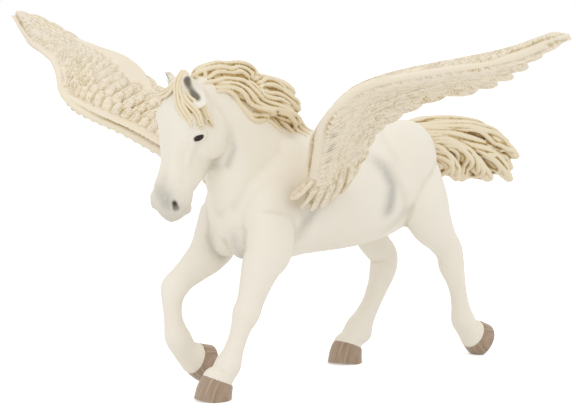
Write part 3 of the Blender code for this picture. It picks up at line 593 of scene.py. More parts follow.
def limb_section(joint):
    """Half width, front half and back half of the leg at a named joint."""
    hoof_front, hoof_back, hoof_side = HOOF_LENGTH * 0.53, HOOF_LENGTH * 0.47, HOOF_WIDTH / 2
    return {
        "sole": (hoof_side, hoof_front, hoof_back),
        "wall": (hoof_side * 0.96, hoof_front * 0.93, hoof_back * 0.95),
        "coronet": (hoof_side * 0.85, hoof_front * 0.78, hoof_back * 0.90),
        "pastern": (PASTERN_WIDTH / 2, PASTERN_WIDTH * 0.49, PASTERN_WIDTH * 0.56),
        "fetlock": (FETLOCK_WIDTH / 2, FETLOCK_WIDTH * 0.49, FETLOCK_WIDTH * 0.57),
        "ankle": (CANNON_WIDTH * 0.56, CANNON_WIDTH * 0.56, CANNON_WIDTH * 0.59),
        "cannon": (CANNON_WIDTH / 2, CANNON_WIDTH * 0.51, CANNON_WIDTH * 0.53),
        "shin": (CANNON_WIDTH * 0.56, CANNON_WIDTH * 0.60, CANNON_WIDTH * 0.60),
        "knee": (KNEE_WIDTH / 2, KNEE_WIDTH * 0.53, KNEE_WIDTH * 0.50),
        "above_knee": (KNEE_WIDTH * 0.47, KNEE_WIDTH * 0.49, KNEE_WIDTH * 0.53),
        "forearm": (FOREARM_WIDTH * 0.47, FOREARM_WIDTH * 0.50, FOREARM_WIDTH * 0.55),
        "arm": (FOREARM_WIDTH * 0.55, FOREARM_WIDTH * 0.62, FOREARM_WIDTH * 0.72),
        "elbow": (FOREARM_WIDTH * 0.60, FOREARM_WIDTH * 0.75, FOREARM_WIDTH * 0.90),
        "shoulder": (FOREARM_WIDTH * 0.56, FOREARM_WIDTH * 0.78, FOREARM_WIDTH * 0.96),
        "hock": (HOCK_WIDTH * 0.47, HOCK_WIDTH * 0.54, HOCK_WIDTH * 0.52),
        "above_hock": (HOCK_WIDTH * 0.43, HOCK_WIDTH * 0.52, HOCK_WIDTH * 0.68),
        "gaskin": (GASKIN_WIDTH * 0.48, GASKIN_WIDTH * 0.62, GASKIN_WIDTH * 0.48),
        "stifle": (THIGH_WIDTH * 0.44, THIGH_WIDTH * 0.64, THIGH_WIDTH * 0.44),
        "thigh": (THIGH_WIDTH * 0.48, THIGH_WIDTH * 0.80, THIGH_WIDTH * 0.52),
        "hip": (THIGH_WIDTH * 0.36, THIGH_WIDTH * 0.60, THIGH_WIDTH * 0.40),
    }[joint]


def leg(top, foot_y, reach, places):
    """The sections of a leg from its sole up to top.

    Each place is a joint, a share of the height of top, how far behind top it lies, as a share of reach,
    and where given how much deeper its back half is than usual. The foot stands at foot_y.
    """
    stations = []
    for joint, rise, behind, *thicker in places:
        y = foot_y + (top[1] - foot_y) * min(rise, 1.0)
        if rise > 1.0:
            y -= top[1] * (rise - 1.0) * 0.41
        side, front, back = limb_section(joint)
        back *= thicker[0] if thicker else 1.0
        stations.append((top[0] + reach * behind, y, top[2] * rise, side, front, back))
    return stations


def leg_sections():
    """The sections of the left and right forelegs and of the left and right hind legs."""
    fore_sink, hind_sink = -SOLE_SINK / ELBOW_Z, -SOLE_SINK / STIFLE_Z
    hoof_fore, hoof_hind = HOOF_HEIGHT / ELBOW_Z, HOOF_HEIGHT / STIFLE_Z
    return [
        leg(
            (ELBOW_X, LEFT * FORE_STANCE / 2, ELBOW_Z),
            LEFT * FORE_STANCE * 0.37,
            -PLANTED_FORE_REACH,
            (
                ("sole", fore_sink, 1.00),
                ("wall", hoof_fore * 0.5, 0.97),
                ("coronet", hoof_fore, 0.93),
                ("pastern", 0.165, 0.84),
                ("fetlock", 0.24, 0.72),
                ("ankle", 0.305, 0.64),
                ("cannon", 0.40, 0.55),
                ("shin", 0.48, 0.48),
                ("knee", 0.565, 0.39),
                ("above_knee", 0.65, 0.32),
                ("forearm", 0.77, 0.23),
                ("arm", 0.89, 0.13),
                ("elbow", 1.0, 0.0),
                ("shoulder", 1.22, -0.10),
            ),
        ),
        leg(
            (trunk_x(0.09), RIGHT * FORE_STANCE / 2, trunk_z(0.157)),
            RIGHT * FORE_STANCE * 0.41,
            -RAISED_KNEE_REACH,
            (
                ("sole", 0.156, 0.30),
                ("wall", 0.173, 0.43),
                ("coronet", 0.191, 0.56),
                ("pastern", 0.249, 0.76),
                ("fetlock", 0.352, 0.93),
                ("ankle", 0.44, 0.985),
                ("cannon", 0.515, 1.01),
                ("shin", 0.60, 1.01),
                ("knee", 0.685, 0.95),
                ("above_knee", 0.75, 0.76),
                ("forearm", 0.82, 0.48),
                ("arm", 0.895, 0.21),
                ("elbow", 1.0, 0.0),
                ("shoulder", 1.18, -0.12),
            ),
        ),
        leg(
            (trunk_x(0.923), LEFT * HIND_STANCE / 2, STIFLE_Z),
            LEFT * HIND_STANCE * 0.41,
            TRAILING_HIND_REACH,
            (
                ("sole", 0.100, 1.00),
                ("wall", 0.124, 0.915),
                ("coronet", 0.148, 0.83),
                ("pastern", 0.192, 0.72),
                ("fetlock", 0.268, 0.62),
                ("ankle", 0.35, 0.58),
                ("cannon", 0.45, 0.53),
                ("shin", 0.55, 0.47),
                ("hock", 0.66, 0.385),
                ("above_hock", 0.76, 0.305),
                ("gaskin", 0.87, 0.18),
                ("stifle", 1.0, 0.0),
                ("thigh", 1.16, -0.10),
                ("hip", 1.36, -0.12),
            ),
        ),
        leg(
            (trunk_x(0.847), RIGHT * HIND_STANCE / 2, STIFLE_Z),
            RIGHT * HIND_STANCE * 0.37,
            -PLANTED_HIND_REACH,
            (
                ("sole", hind_sink, 1.00),
                ("wall", hoof_hind * 0.5, 0.96),
                ("coronet", hoof_hind, 0.90),
                ("pastern", 0.165, 0.76, 1.15),
                ("fetlock", 0.235, 0.53, 1.5),
                ("ankle", 0.30, 0.31, 1.4),
                ("cannon", 0.39, 0.04, 1.35),
                ("shin", 0.50, -0.22, 1.3),
                ("hock", 0.61, -0.43, 1.2),
                ("above_hock", 0.70, -0.44, 1.1),
                ("gaskin", 0.82, -0.20),
                ("stifle", 1.0, 0.0),
                ("thigh", 1.18, -0.10),
                ("hip", 1.36, -0.20),
            ),
        ),
    ]


# Wings: a thin arched plate along the bones, feathers laid on it in rows


def wing_root(side):
    return np.array([trunk_x(0.232), side * (TRUNK_WIDTH * 0.41), trunk_z(0.463)])


@functools.cache
def wing_curves(side):
    """The front edge of a wing and its chords, finely, from the root through the wrist to the tip."""
    root = wing_root(side)
    arm = np.array([-WING_ARM[0], side * WING_ARM[1], WING_ARM[2]])
    hand = np.array([WING_HAND[0], side * WING_HAND[1], WING_HAND[2]])
    bones = (  # shares of the arm and of the hand, each way, and the chord as shares of the longest
        ((0.00, 0.00, 0.00), (0.00, 0.00, 0.00), (0.39, 0.03, 0.06)),
        ((0.38, 0.34, 0.32), (0.00, 0.00, 0.00), (0.59, -0.04, 0.12)),
        ((0.72, 0.67, 0.69), (0.00, 0.00, 0.00), (0.75, -0.10, 0.13)),
        ((1.00, 1.00, 1.00), (0.00, 0.00, 0.00), (0.99, -0.03, 0.09)),
        ((1.00, 1.00, 1.00), (0.18, 0.17, 0.41), (0.97, 0.17, -0.04)),
        ((1.00, 1.00, 1.00), (0.46, 0.45, 0.60), (0.70, 0.17, -0.02)),
        ((1.00, 1.00, 1.00), (0.73, 0.74, 0.72), (0.41, 0.12, 0.10)),
        ((1.00, 1.00, 1.00), (1.00, 1.00, 1.00), (0.12, 0.12, 0.06)),
    )
    table = []
    for arm_share, hand_share, chord in bones:
        edge = root + arm * arm_share + hand * hand_share
        if side == LEFT:
            edge = edge + np.array(LEFT_TIP_OFFSET) * np.array(hand_share) ** 2
            edge = edge + np.array(LEFT_ARM_OFFSET) * math.sin(math.pi * arm_share[0])
        table.append((*edge, chord[0] * WING_CHORD, side * chord[1] * WING_CHORD, chord[2] * WING_CHORD))
    curve = rows_through(table, WING_ROWS)
    if side == LEFT:
        place, long = LEFT_BEND
        bend = np.exp(-(((np.arange(len(curve)) / WING_ROWS - place) / long) ** 2))
        curve[:, :3] += bend[:, None] * np.array(LEFT_WRIST_OFFSET)
    return curve


def wing_frame(side, span):
    """The front edge, the chord and the upper side of a wing, at span 0 for the root, 3 for the
    wrist and 7 for the tip."""
    fine = wing_curves(side)
    row = min(max(span, 0.0), WING_SPANS) * WING_ROWS
    at = np.array([np.interp(row, range(len(fine)), fine[:, k]) for k in range(6)])
    low, high = max(int(row) - 2, 0), min(int(row) + 3, len(fine) - 1)
    outward = unit(fine[high, :3] + fine[high, 3:] * 0.4 - fine[low, :3] - fine[low, 3:] * 0.4)
    chord = at[3:]
    top = unit(np.cross(chord, outward)) * side
    return at[:3], chord, top


def wing_point(side, span, across, lift=0.0):
    """A point of the wing, at a share of the chord behind the front edge, on its arched middle surface."""
    edge, chord, top = wing_frame(side, span)
    arch = 0.07 * np.linalg.norm(chord) * math.sin(math.pi * min(max(across, 0.0), 1.0))
    return edge + chord * across + top * (arch + lift - WING_THICKNESS * 0.25)


def feather(points, width, thickness, top):
    """A blade with a round tip through the given points, narrow where it leaves the wing."""
    shape = ((0.0, 0.55), (0.18, 0.85), (0.45, 1.0), (0.72, 0.98), (0.9, 0.72), (0.97, 0.42), (1.0, 0.12))
    curve = rows_through(points, 6)
    stations = []
    for share, wide in shape:
        thin = thickness * (0.5 if share < 1 else 0.3)
        stations.append((*along_curve(curve, share), wide * width / 2, thin, thin * 0.8, 0.6))
    return loft(stations, up=top, sides=12, per_span=2)


def shingled(side, span, slope):
    """The upper side of a feather that lies on its outer neighbour, as roof tiles do."""
    _, chord, top = wing_frame(side, span)
    outward = np.cross(unit(chord), top) * side
    return unit(top + outward * slope)


def wing_plate(side):
    """The muscled front of the wing and the thin web that the feathers lie on."""
    bone, web = [], []
    for step in range(-1, 14):
        span = max(step, 0) * 0.53
        chord = np.linalg.norm(wing_frame(side, span)[1])
        thick = WING_THICKNESS * (1.0 - 0.085 * span)
        middle = wing_point(side, span, 0.15)
        if step < 0:
            middle = middle + np.array([0.07, -side * 0.18, -0.02]) * WING_CHORD
        bone.append((*middle, chord * 0.12, thick / 2, thick / 2))
        if step >= 0:
            thin = FEATHER_THICKNESS * 0.4
            web.append((*wing_point(side, span, 0.45), chord * 0.38, thin, thin))
    top = wing_frame(side, 3.0)[2]
    return [loft(bone, up=top, sides=14), loft(web, up=top, sides=12)]


def flight_feathers(side):
    """Secondaries behind the arm, and primaries fanned along the hand to the tip."""
    found = []
    total = SECONDARIES + PRIMARIES
    for i in range(total):
        share = i / (total - 1)
        root_span = 0.2 + 5.2 * share
        tip_span = 0.1 + 6.6 * share**0.95
        reach = 0.96 + 0.10 * share - (LEFT_FEATHER_TRIM * share if side == LEFT else 0.0)
        points = [
            wing_point(side, root_span, 0.25),
            wing_point(side, root_span * 0.4 + tip_span * 0.6, 0.66),
            wing_point(side, tip_span, reach),
        ]
        width = WING_CHORD * (0.265 - 0.05 * share)
        top = shingled(side, (root_span + tip_span) / 2, 0.20)
        found.append(feather(points, width, FEATHER_THICKNESS, top))
    last = [wing_point(side, span, across) for span, across in ((5.0, 0.3), (6.1, 0.45), (7.0, 0.7))]
    slim = WING_CHORD * 0.15
    found.append(feather(last, slim, FEATHER_THICKNESS, shingled(side, 6.0, 0.1)))
    return found


def root_feathers(side):
    """Feathers that fan down over the shoulder from the foot of the wing."""
    root = wing_root(side)
    found = []
    for i in range(ROOT_FEATHERS):
        share = i / (ROOT_FEATHERS - 1)
        start = wing_point(side, 1.0, 0.08 + 0.72 * share)
        sweep = np.array([0.50 * share - 0.17, side * 0.11, 0.06 - 0.12 * math.sin(math.pi * share**0.8)])
        tip = root + sweep * WING_CHORD
        middle = (start + tip) / 2 + np.array([0.0, side * 0.045, 0.0]) * WING_CHORD
        points = (start, middle, tip)
        found.append(feather(points, WING_CHORD * 0.19, FEATHER_THICKNESS, (0.15, side, 0.1)))
    return found


def crest_point(share):
    """A point just under the crest of the neck, from the poll to the withers."""
    throat_x, throat_z = crest(0.705, 0.842)
    middle_x, middle_z = crest(0.42, 0.515)
    rows = (
        (*POLL[:2] * 0.955, POLL[2]),
        (throat_x, POLL[1] * 0.7, throat_z),
        (middle_x, POLL[1] * 0.3, middle_z),
        (trunk_x(0.31), 0.0, trunk_z(0.96)),
    )
    return along_curve(rows_through(rows, 8), share)


def tail_core(dock):
    """The mass inside the tail, which closes the gaps between its locks."""
    profile = (  # shares of the tail's length behind, above and below the dock, and its half height
        (0.02, -0.02, 0.07),
        (0.14, -0.05, 0.11),
        (0.32, -0.13, 0.18),
        (0.52, -0.18, 0.18),
        (0.72, -0.21, 0.15),
        (0.85, -0.25, 0.10),
        (0.90, -0.27, 0.05),
    )
    rows = []
    for back, up, half in profile:
        place = dock + np.array([back, 0.0, up]) * TAIL_LENGTH
        rows.append((*place, TAIL_LOCK_WIDTH * 0.3, half * TAIL_LENGTH, half * TAIL_LENGTH))
    return loft(rows, up=(0, 0, 1))


def torso_shells():
    return [trunk(), neck(), *muscles()]


def mixed(a, b, share):
    return np.array(a) * (1 - share) + np.array(b) * share


def cuffed(stations):
    """A leg that ends over its hoof: the hair stands a little proud of the coronet and closes inside."""
    wall, coronet, pastern = [np.array(row) for row in stations[1:4]]
    inside = mixed(wall, coronet, 0.45)
    inside = (*inside[:3], *(inside[3:] * 0.6))
    rim = (*mixed(wall, coronet, 0.85)[:3], *(coronet[3:] * 0.99))
    above = (*mixed(coronet, pastern, 0.35)[:3], *(coronet[3:] * 0.95))
    return [inside, rim, above, *stations[3:]]


def legs():
    return [loft(cuffed(stations), up=(-1, 0, 0), sides=20) for stations in leg_sections()]


# Face: the eyes, the nostrils and the small forms between them


def eye_centre(side):
    return head_point(0.405, -1.1, -side * 7.9)


def eye_axes(side):
    """Along the eye from its front corner to its back one, across it, and out of the head."""
    down, face, left = head_axes()
    out = unit(-side * left + face * 0.30)
    back = unit(-face * 0.89 - down * 0.45)
    back = unit(back - (back @ out) * out)
    return back, np.cross(out, back) * -side, out


def eye_ring(side, wide, high):
    """A closed line round the eye, at shares of its half length and half height, on the head's skin."""
    back, rise, out = eye_axes(side)
    found = []
    for turn in range(17):
        angle = 2 * math.pi * turn / 16
        away = back * math.cos(angle) * EYE_SIZE * 0.6 * wide
        away = away + rise * math.sin(angle) * EYE_SIZE * 0.33 * high
        found.append(eye_centre(side) + away - out * 0.25 * (away @ away) / EYE_SIZE)
    return found


def both_sides(line):
    """A line given by head places, on the left and on the right."""
    return [[head_point(down, out, side * left) for down, out, left in line] for side in (1, -1)]


def mirrored(lines, side):
    """Lines of the right side, each with its two sizes, on the given side."""
    return [([(x, side * y, z) for x, y, z in line], *sizes) for line, *sizes in lines]


def face_moves():
    """Eyelids, cheekbones, temples, nasal bone, mouth and chin: line, width and height of each."""
    found = []
    for side in (LEFT, RIGHT):
        found += [
            (eye_ring(side, 1.3, 1.6), 0.5, 0.26),
            (eye_ring(side, 1.9, 2.9)[1:8], 0.9, 0.22),
        ]
    lines = (  # places down, out and left, width, height
        (((0.44, 0.2, 7.0), (0.52, 0.4, 5.8), (0.60, 0.8, 5.1)), 1.3, 0.40),
        (((0.22, -2.0, 7.8), (0.28, -3.0, 7.9)), 1.9, -0.5),
        (((0.46, 5.2, 3.4), (0.60, 5.1, 2.8), (0.74, 6.0, 3.0)), 1.2, 0.30),
        (((0.54, 2.4, 5.2), (0.64, 2.2, 4.9), (0.72, 2.6, 5.4)), 1.5, -0.40),
        (((0.985, 2.2, 1.0), (0.965, 1.6, 3.2), (0.93, 0.0, 4.9), (0.885, -1.4, 5.6)), 0.50, -0.50),
        (((0.80, -3.6, 4.0), (0.86, -4.4, 3.2)), 1.2, -0.4),
        (((0.42, -4.5, 7.2), (0.50, -7.0, 6.2), (0.57, -9.0, 5.0)), 1.8, -0.30),
    )
    for line, width, height in lines:
        found += [(path, width, height) for path in both_sides(line)]
    return found


def body_moves():
    """Folds and hollows where the limbs meet the trunk: line, width and height of each."""
    found = []
    for side in (LEFT, RIGHT):
        lines = (  # places, width, height
            (((-28.5, 1.4, 66), (-29.5, 1.2, 60), (-28, 0.9, 53), (-24, 0.8, 47)), 1.6, -0.7),
            (((-27.0, 5.0, 57), (-25.0, 5.8, 52), (-22.5, 6.0, 47)), 0.9, -0.5),
            (((-27.6, 3.2, 56), (-26.0, 3.9, 51)), 0.8, -0.4),
            (((-12.0, 15.5, 63), (-9.5, 15.6, 56), (-9.0, 14.6, 49)), 2.6, -0.7),
            (((30.0, 16.0, 68), (35.0, 16.4, 61), (38.0, 15.6, 54)), 3.4, -0.9),
            (((53.0, 11.5, 72), (54.5, 11.8, 62), (55.0, 11.0, 52)), 2.0, -0.4),
        )
        found += mirrored(lines, side)
    return found


def nostril_centre(side):
    return head_point(0.895, 5.1, -side * 5.7)


def nostril_axes(side):
    """Along the slit from its top to its bottom, across it, and out of the muzzle."""
    down, face, left = head_axes()
    out = unit(-side * left * 0.75 + face * 0.66)
    slit = unit(down * 0.92 - face * 0.34 - side * left * 0.12)
    slit = unit(slit - (slit @ out) * out)
    return slit, np.cross(out, slit), out


def dented(piece, dents):
    """The skin pushed in: each dent has its place, three axes with the outward one last, its half sizes
    along them and its depth."""
    mesh = piece.data
    for place, axes, half_sizes, depth in dents:
        points = points_of(mesh)
        away = np.linalg.norm((points - place) @ np.array(axes).T / np.array(half_sizes, float), axis=1)
        weight = np.exp(-(away**4))
        set_points(mesh, points - np.array(axes[2]) * (weight * depth)[:, None])
    return piece


def face_dents():
    found = []
    for side in (LEFT, RIGHT):
        found.append((eye_centre(side), eye_axes(side), (2.0, 1.1, 1.6), 0.55))
        found.append((nostril_centre(side), nostril_axes(side), (1.9, 0.85, 2.2), 1.5))
    return found


def on_head(points):
    """Which points lie on the front of the head, where its small forms are."""
    down, face, _ = head_axes()
    away = points - head_point(0.0, 0.0, 0.0)
    share = away @ down / HEAD_LENGTH
    return (share > 0.14) & (away @ face > -9.0) & (away @ -face < 10.0) & (share < 1.2)


def airbrushed():
    """Where the figurine is sprayed grey: the places of a line, its width and its strength."""
    lines = [
        ([head_point(0.95, 2.0, 0.0)], 7.2, 0.48),
        ([head_point(0.82, 5.0, 0.5), head_point(0.87, 5.4, 2.5)], 3.8, 0.72),
        ([head_point(0.74, 5.4, 0.8)], 2.6, 0.30),
        ([(-36.1, -4.0, 73.1), (-41.0, -3.0, 72.0)], 2.2, 0.40),
        ([(-27.9, -3.0, 49.5), (-25.8, -3.0, 45.5)], 0.9, 0.35),
        ([(-25.0, -4.0, 49.7), (-23.3, -4.4, 46.3), (-22.4, -4.6, 43.7)], 0.7, 0.6),
    ]
    for side in (LEFT, RIGHT):
        places = (
            (((20.7, 17, 76.2), (26.7, 17, 69.6), (29.6, 17, 63.7), (28.2, 17, 55.8)), 2.7, 0.62),
            (
                ((0.5, 16, 62.3), (-4.3, 16, 59.1), (-7.8, 16, 54.2), (-9.9, 16, 48.6), (-11.7, 15, 44)),
                2.3,
                0.46,
            ),
            (((-32.0, 6, 50.3), (-28.7, 6, 46.2), (-24.5, 6, 42.5)), 2.8, 0.40),
            (((-33.2, 7, 84.5), (-32.0, 7.4, 78.2), (-33.4, 6.4, 73.5)), 1.3, 0.45),
            (((37.3, 15, 53.0), (34.1, 15, 49.8), (31.2, 14, 46.4)), 2.4, 0.25),
        )
        lines += mirrored(places, side)
    return lines


def darkened():
    """The insides of the nostrils."""
    found = []
    for side in (LEFT, RIGHT):
        slit, _, out = nostril_axes(side)
        middle = nostril_centre(side) - out * 0.7
        found.append(([middle - slit * 0.9, middle + slit * 0.9], 0.85, 1.2))
    return found


def ear_line(side):
    """The foot of an ear, the way to its tip and the side that its hollow opens to."""
    down, face, left = head_axes()
    if side == LEFT:
        foot = head_point(0.125, 1.0, 7.6)
        lean = (face * 0.46 - left * 0.20 - down * 0.76) * EAR_LENGTH
    else:
        foot = head_point(0.11, 0.7, -5.0)
        lean = (face * 0.27 - down * 0.78) * EAR_LENGTH
    out = unit(face * (0.35 if side == LEFT else 1.9) - left * side)
    return foot, lean, unit(out - (out @ unit(lean)) * unit(lean))


def pricked_ears():
    """Two pricked ears, each a leaf rolled into a trough that opens outwards."""
    leaf = (  # share of the length, width, hollow, depth
        (-0.40, 0.75, 0.8, 1.0),
        (-0.12, 1.00, 0.3, 1.2),
        (0.12, 1.10, -0.25, 1.2),
        (0.40, 1.08, -0.45, 1.15),
        (0.66, 0.86, -0.30, 0.95),
        (0.86, 0.54, 0.02, 0.7),
        (1.0, 0.24, 0.2, 0.35),
    )
    found = []
    for side in (LEFT, RIGHT):
        foot, lean, out = ear_line(side)
        half = EAR_WIDTH / 2
        rows = [(*(foot + lean * share), *[size * half for size in sizes]) for share, *sizes in leaf]
        found.append(loft(rows, up=out, sides=16))
    return found


def ear_hollow(points):
    """How deep in the hollow of an ear each point lies, from 0 to 1."""
    found = np.zeros(len(points))
    for side in (LEFT, RIGHT):
        foot, lean, out = ear_line(side)
        line = [foot + lean * share - out * 0.3 for share in (-0.1, 0.2, 0.5, 0.80)]
        inside = np.clip(2.15 - distance_to_line(points, line) / EAR_HOLLOW, 0, 1)
        found = np.maximum(found, inside * (((points - foot) @ out) > -1.4))
    return found


# Hair


LOCK_SHARES = (0.0, 0.2, 0.5, 0.78, 0.93, 1.0)  # places along a lock, for the widths that follow


def lock_widths(end):
    """How wide a lock is at LOCK_SHARES. end is how wide it stays at its tip."""
    return 0.62, 0.95, 1.0, 0.94, 0.5 + 0.5 * end, end


def bundle(points, width, thickness, up, count, size, ripple):
    """A lock of hair: a core with strands side by side round it.

    ripple is how far the strands swing, their wave's length and where it starts, in millimetres."""
    curve = rows_through(points, 6)
    gone = length_along(curve)
    t = gone / gone[-1]
    upward, across = frame_along(curve, up)
    swing, pitch, start = ripple
    swung = swing * np.clip(t * 5, 0, 1) * np.sin(2 * math.pi * (gone + start) / pitch)
    curve = curve + across * swung[:, None]
    wide = np.interp(t, LOCK_SHARES, lock_widths(0.5))
    half_width, half_height = wide * (width - size) / 2, wide * (thickness - size) / 2
    core = np.column_stack([curve, half_width, half_height, half_height])
    found = [loft(core[::3], up=up, sides=12, per_span=3)]
    for k in range(count):
        angle = math.pi * (k + 0.5) / count
        side = across * (half_width * np.cos(angle))[:, None]
        lift = upward * (half_height * np.sin(angle))[:, None]
        last = int(len(curve) * (1.0 - 0.06 - 0.07 * math.sin(2.3 * k + start)))
        radius = size * 0.60 * np.interp(t, (0.0, 0.1, 0.85, 0.96, 1.0), (0.8, 1.0, 0.95, 0.75, 0.5))
        strand = np.column_stack([curve + side + lift, radius, radius, radius])[:last:2]
        found.append(loft(strand, up=up, sides=5, per_span=2))
    return found


def lock_core(points, width, thickness, up, end):
    """The plain mass of a lock of hair."""
    curve = rows_through(points, 6)
    found = []
    for share, wide in zip(LOCK_SHARES, lock_widths(end)):
        high = wide * thickness / 2
        found.append((*along_curve(curve, share), wide * width / 2, high, high))
    return loft(found, up=up, sides=14)


def tree_of(shells, piece=None):
    """What lines can be laid on: the shells and, where given, a piece."""
    points, faces = [], []
    if piece:
        points += points_of(piece.data).tolist()
        faces += [tuple(face.vertices) for face in piece.data.polygons]
    for shell_points, shell_faces, _ in shells:
        faces += [tuple(len(points) + i for i in face) for face in shell_faces]
        points += shell_points.tolist()
    return BVHTree.FromPolygons(points, faces)


def laid_strand(tree, line, side, size, slip=(0.0, 0.0)):
    """A strand of hair that follows a line of (x, z), laid on one side of what the tree holds."""
    curve = rows_through(line, 5) + np.array(slip)
    depth = []
    for x, z in curve:
        place = tree.ray_cast(Vector((x, side * 60.0, z)), Vector((0.0, -side, 0.0)))[0]
        depth.append(side * place.y if place else np.nan)
    depth, rows = np.array(depth), np.arange(len(curve))
    held = ~np.isnan(depth)
    depth = np.interp(rows, rows[held], depth[held]) if held.any() else np.zeros(len(curve))
    for _ in range(6):
        depth[1:-1] = 0.5 * depth[1:-1] + 0.25 * (depth[:-2] + depth[2:])
    share = rows / rows[-1]
    radius = size / 2 * np.interp(share, (0.0, 0.08, 0.5, 0.88, 1.0), (0.55, 0.9, 1.05, 0.9, 0.45))
    depth = depth + 0.3 * radius - np.interp(share, (0.0, 0.12, 1.0), (0.6, 0.0, 0.0)) * size
    strand = np.column_stack([curve[:, 0], side * depth, curve[:, 1], radius, radius, radius])
    return loft(strand[::2], up=(0.0, side, 0.3), sides=6, per_span=2)


def blown_path(start, length, lift, drop, side, spread, wave):
    """A path that a lock takes when the wind carries it back and its own weight bends it down."""
    found = []
    for t in (0.0, 0.12, 0.25, 0.38, 0.5, 0.62, 0.75, 0.88, 1.0):
        height = lift * math.sin(math.pi * t) - drop * t**2.2 + wave * math.sin(2.6 * math.pi * t)
        found.append(start + np.array([length * t, side * spread * t**0.6, height]))
    return found


MANE_STRANDS = (  # places backwards and up, from the front of each strand to its end
    ((-42.7, 101.5), (-40.7, 103.8), (-37.6, 105.0), (-34, 105.6), (-30, 105.2), (-26, 105.4),
     (-22.8, 105.1), (-20, 103.9), (-18.7, 102.3), (-19.4, 101.1)),
    ((-44.3, 100.6), (-41.2, 102.8), (-37.7, 104.0), (-34.1, 104.2), (-30.1, 103.6), (-26.5, 104.0),
     (-23.3, 103.3), (-21.8, 101.9), (-22, 100.7)),
    ((-40.5, 100.2), (-38.3, 101.8), (-34.7, 102.8), (-30.3, 102.3), (-26.6, 102.6), (-24.4, 101.5),
     (-23.7, 100.4)),
    ((-43.4, 98.8), (-41.4, 99.6), (-37.8, 100.1), (-34.7, 100.7), (-31.2, 100.4), (-27.6, 100),
     (-25.6, 98.9), (-23.7, 96.6), (-21.2, 94.1), (-18, 92.6), (-13.9, 91.4), (-9.2, 89.4),
     (-4.5, 88.5)),
    ((-40.7, 98.9), (-35.4, 99.2), (-30.5, 98.9), (-27.4, 97.4), (-25.1, 94.6), (-22.4, 92.4),
     (-18.7, 90.9), (-14.6, 90.4), (-10.4, 89.2), (-6.6, 87.6)),
    ((-39.4, 97.9), (-37.4, 98), (-33.9, 98), (-30.3, 97.2), (-28.1, 95.1), (-25.8, 92.6),
     (-22.6, 91.2), (-18.5, 90.1), (-14.8, 88.8), (-11.6, 87.5), (-8.3, 86)),
    ((-39.7, 96.8), (-37.7, 96.8), (-35, 97), (-32.3, 95.8), (-30.1, 93.4), (-27.9, 91),
     (-25.6, 89.2), (-22.9, 88.8), (-19.7, 88.9), (-16.5, 87.6), (-13.7, 86.3), (-10.9, 84.1)),
    ((-21.7, 98), (-18.7, 99), (-16.4, 100.0), (-13.1, 99.8), (-9.9, 98.7), (-7.1, 96.3),
     (-3.8, 95), (-0.9, 93.6), (0.1, 92.2)),
    ((-22, 97), (-20, 97.7), (-16.8, 98.1), (-13.1, 97.8), (-10.3, 96.7), (-7, 94.5), (-3.7, 92.6),
     (-2.3, 90.8)),
    ((-24.5, 100), (-23.1, 98.6), (-22, 96.8), (-19.9, 95), (-16.7, 93.9), (-13, 93.4),
     (-9.3, 91.8), (-5.5, 89.9), (-3.6, 88.8)),
    ((-22.1, 97.2), (-20.1, 96.4), (-17.4, 95.6), (-13.7, 95.3), (-10.4, 94.3), (-7.1, 92.1),
     (-4.3, 90.2)),
    ((-30.5, 93.0), (-28.9, 91.8), (-26.2, 88.6), (-24, 87.2), (-21.2, 87.1), (-19.4, 87.5),
     (-16.6, 86.5), (-13.9, 84.6), (-11.1, 82.6)),
    ((-16, 90.0), (-13.9, 89.3), (-11.1, 88.5), (-8.3, 87.2), (-5.4, 85), (-3.5, 83), (-1.6, 80.8)),
    ((-14.6, 88.0), (-11.5, 86.9), (-8.9, 85.2), (-6.5, 83.4), (-5.0, 81.9)),
    ((-11, 90.2), (-9.3, 89.2), (-6, 88), (-3.6, 86), (-1.2, 83.7), (0.8, 80.8)),
    ((-6.4, 90.6), (-3.6, 88.6), (-1.0, 86.0), (1.4, 83.8), (3.0, 82.2)),
)


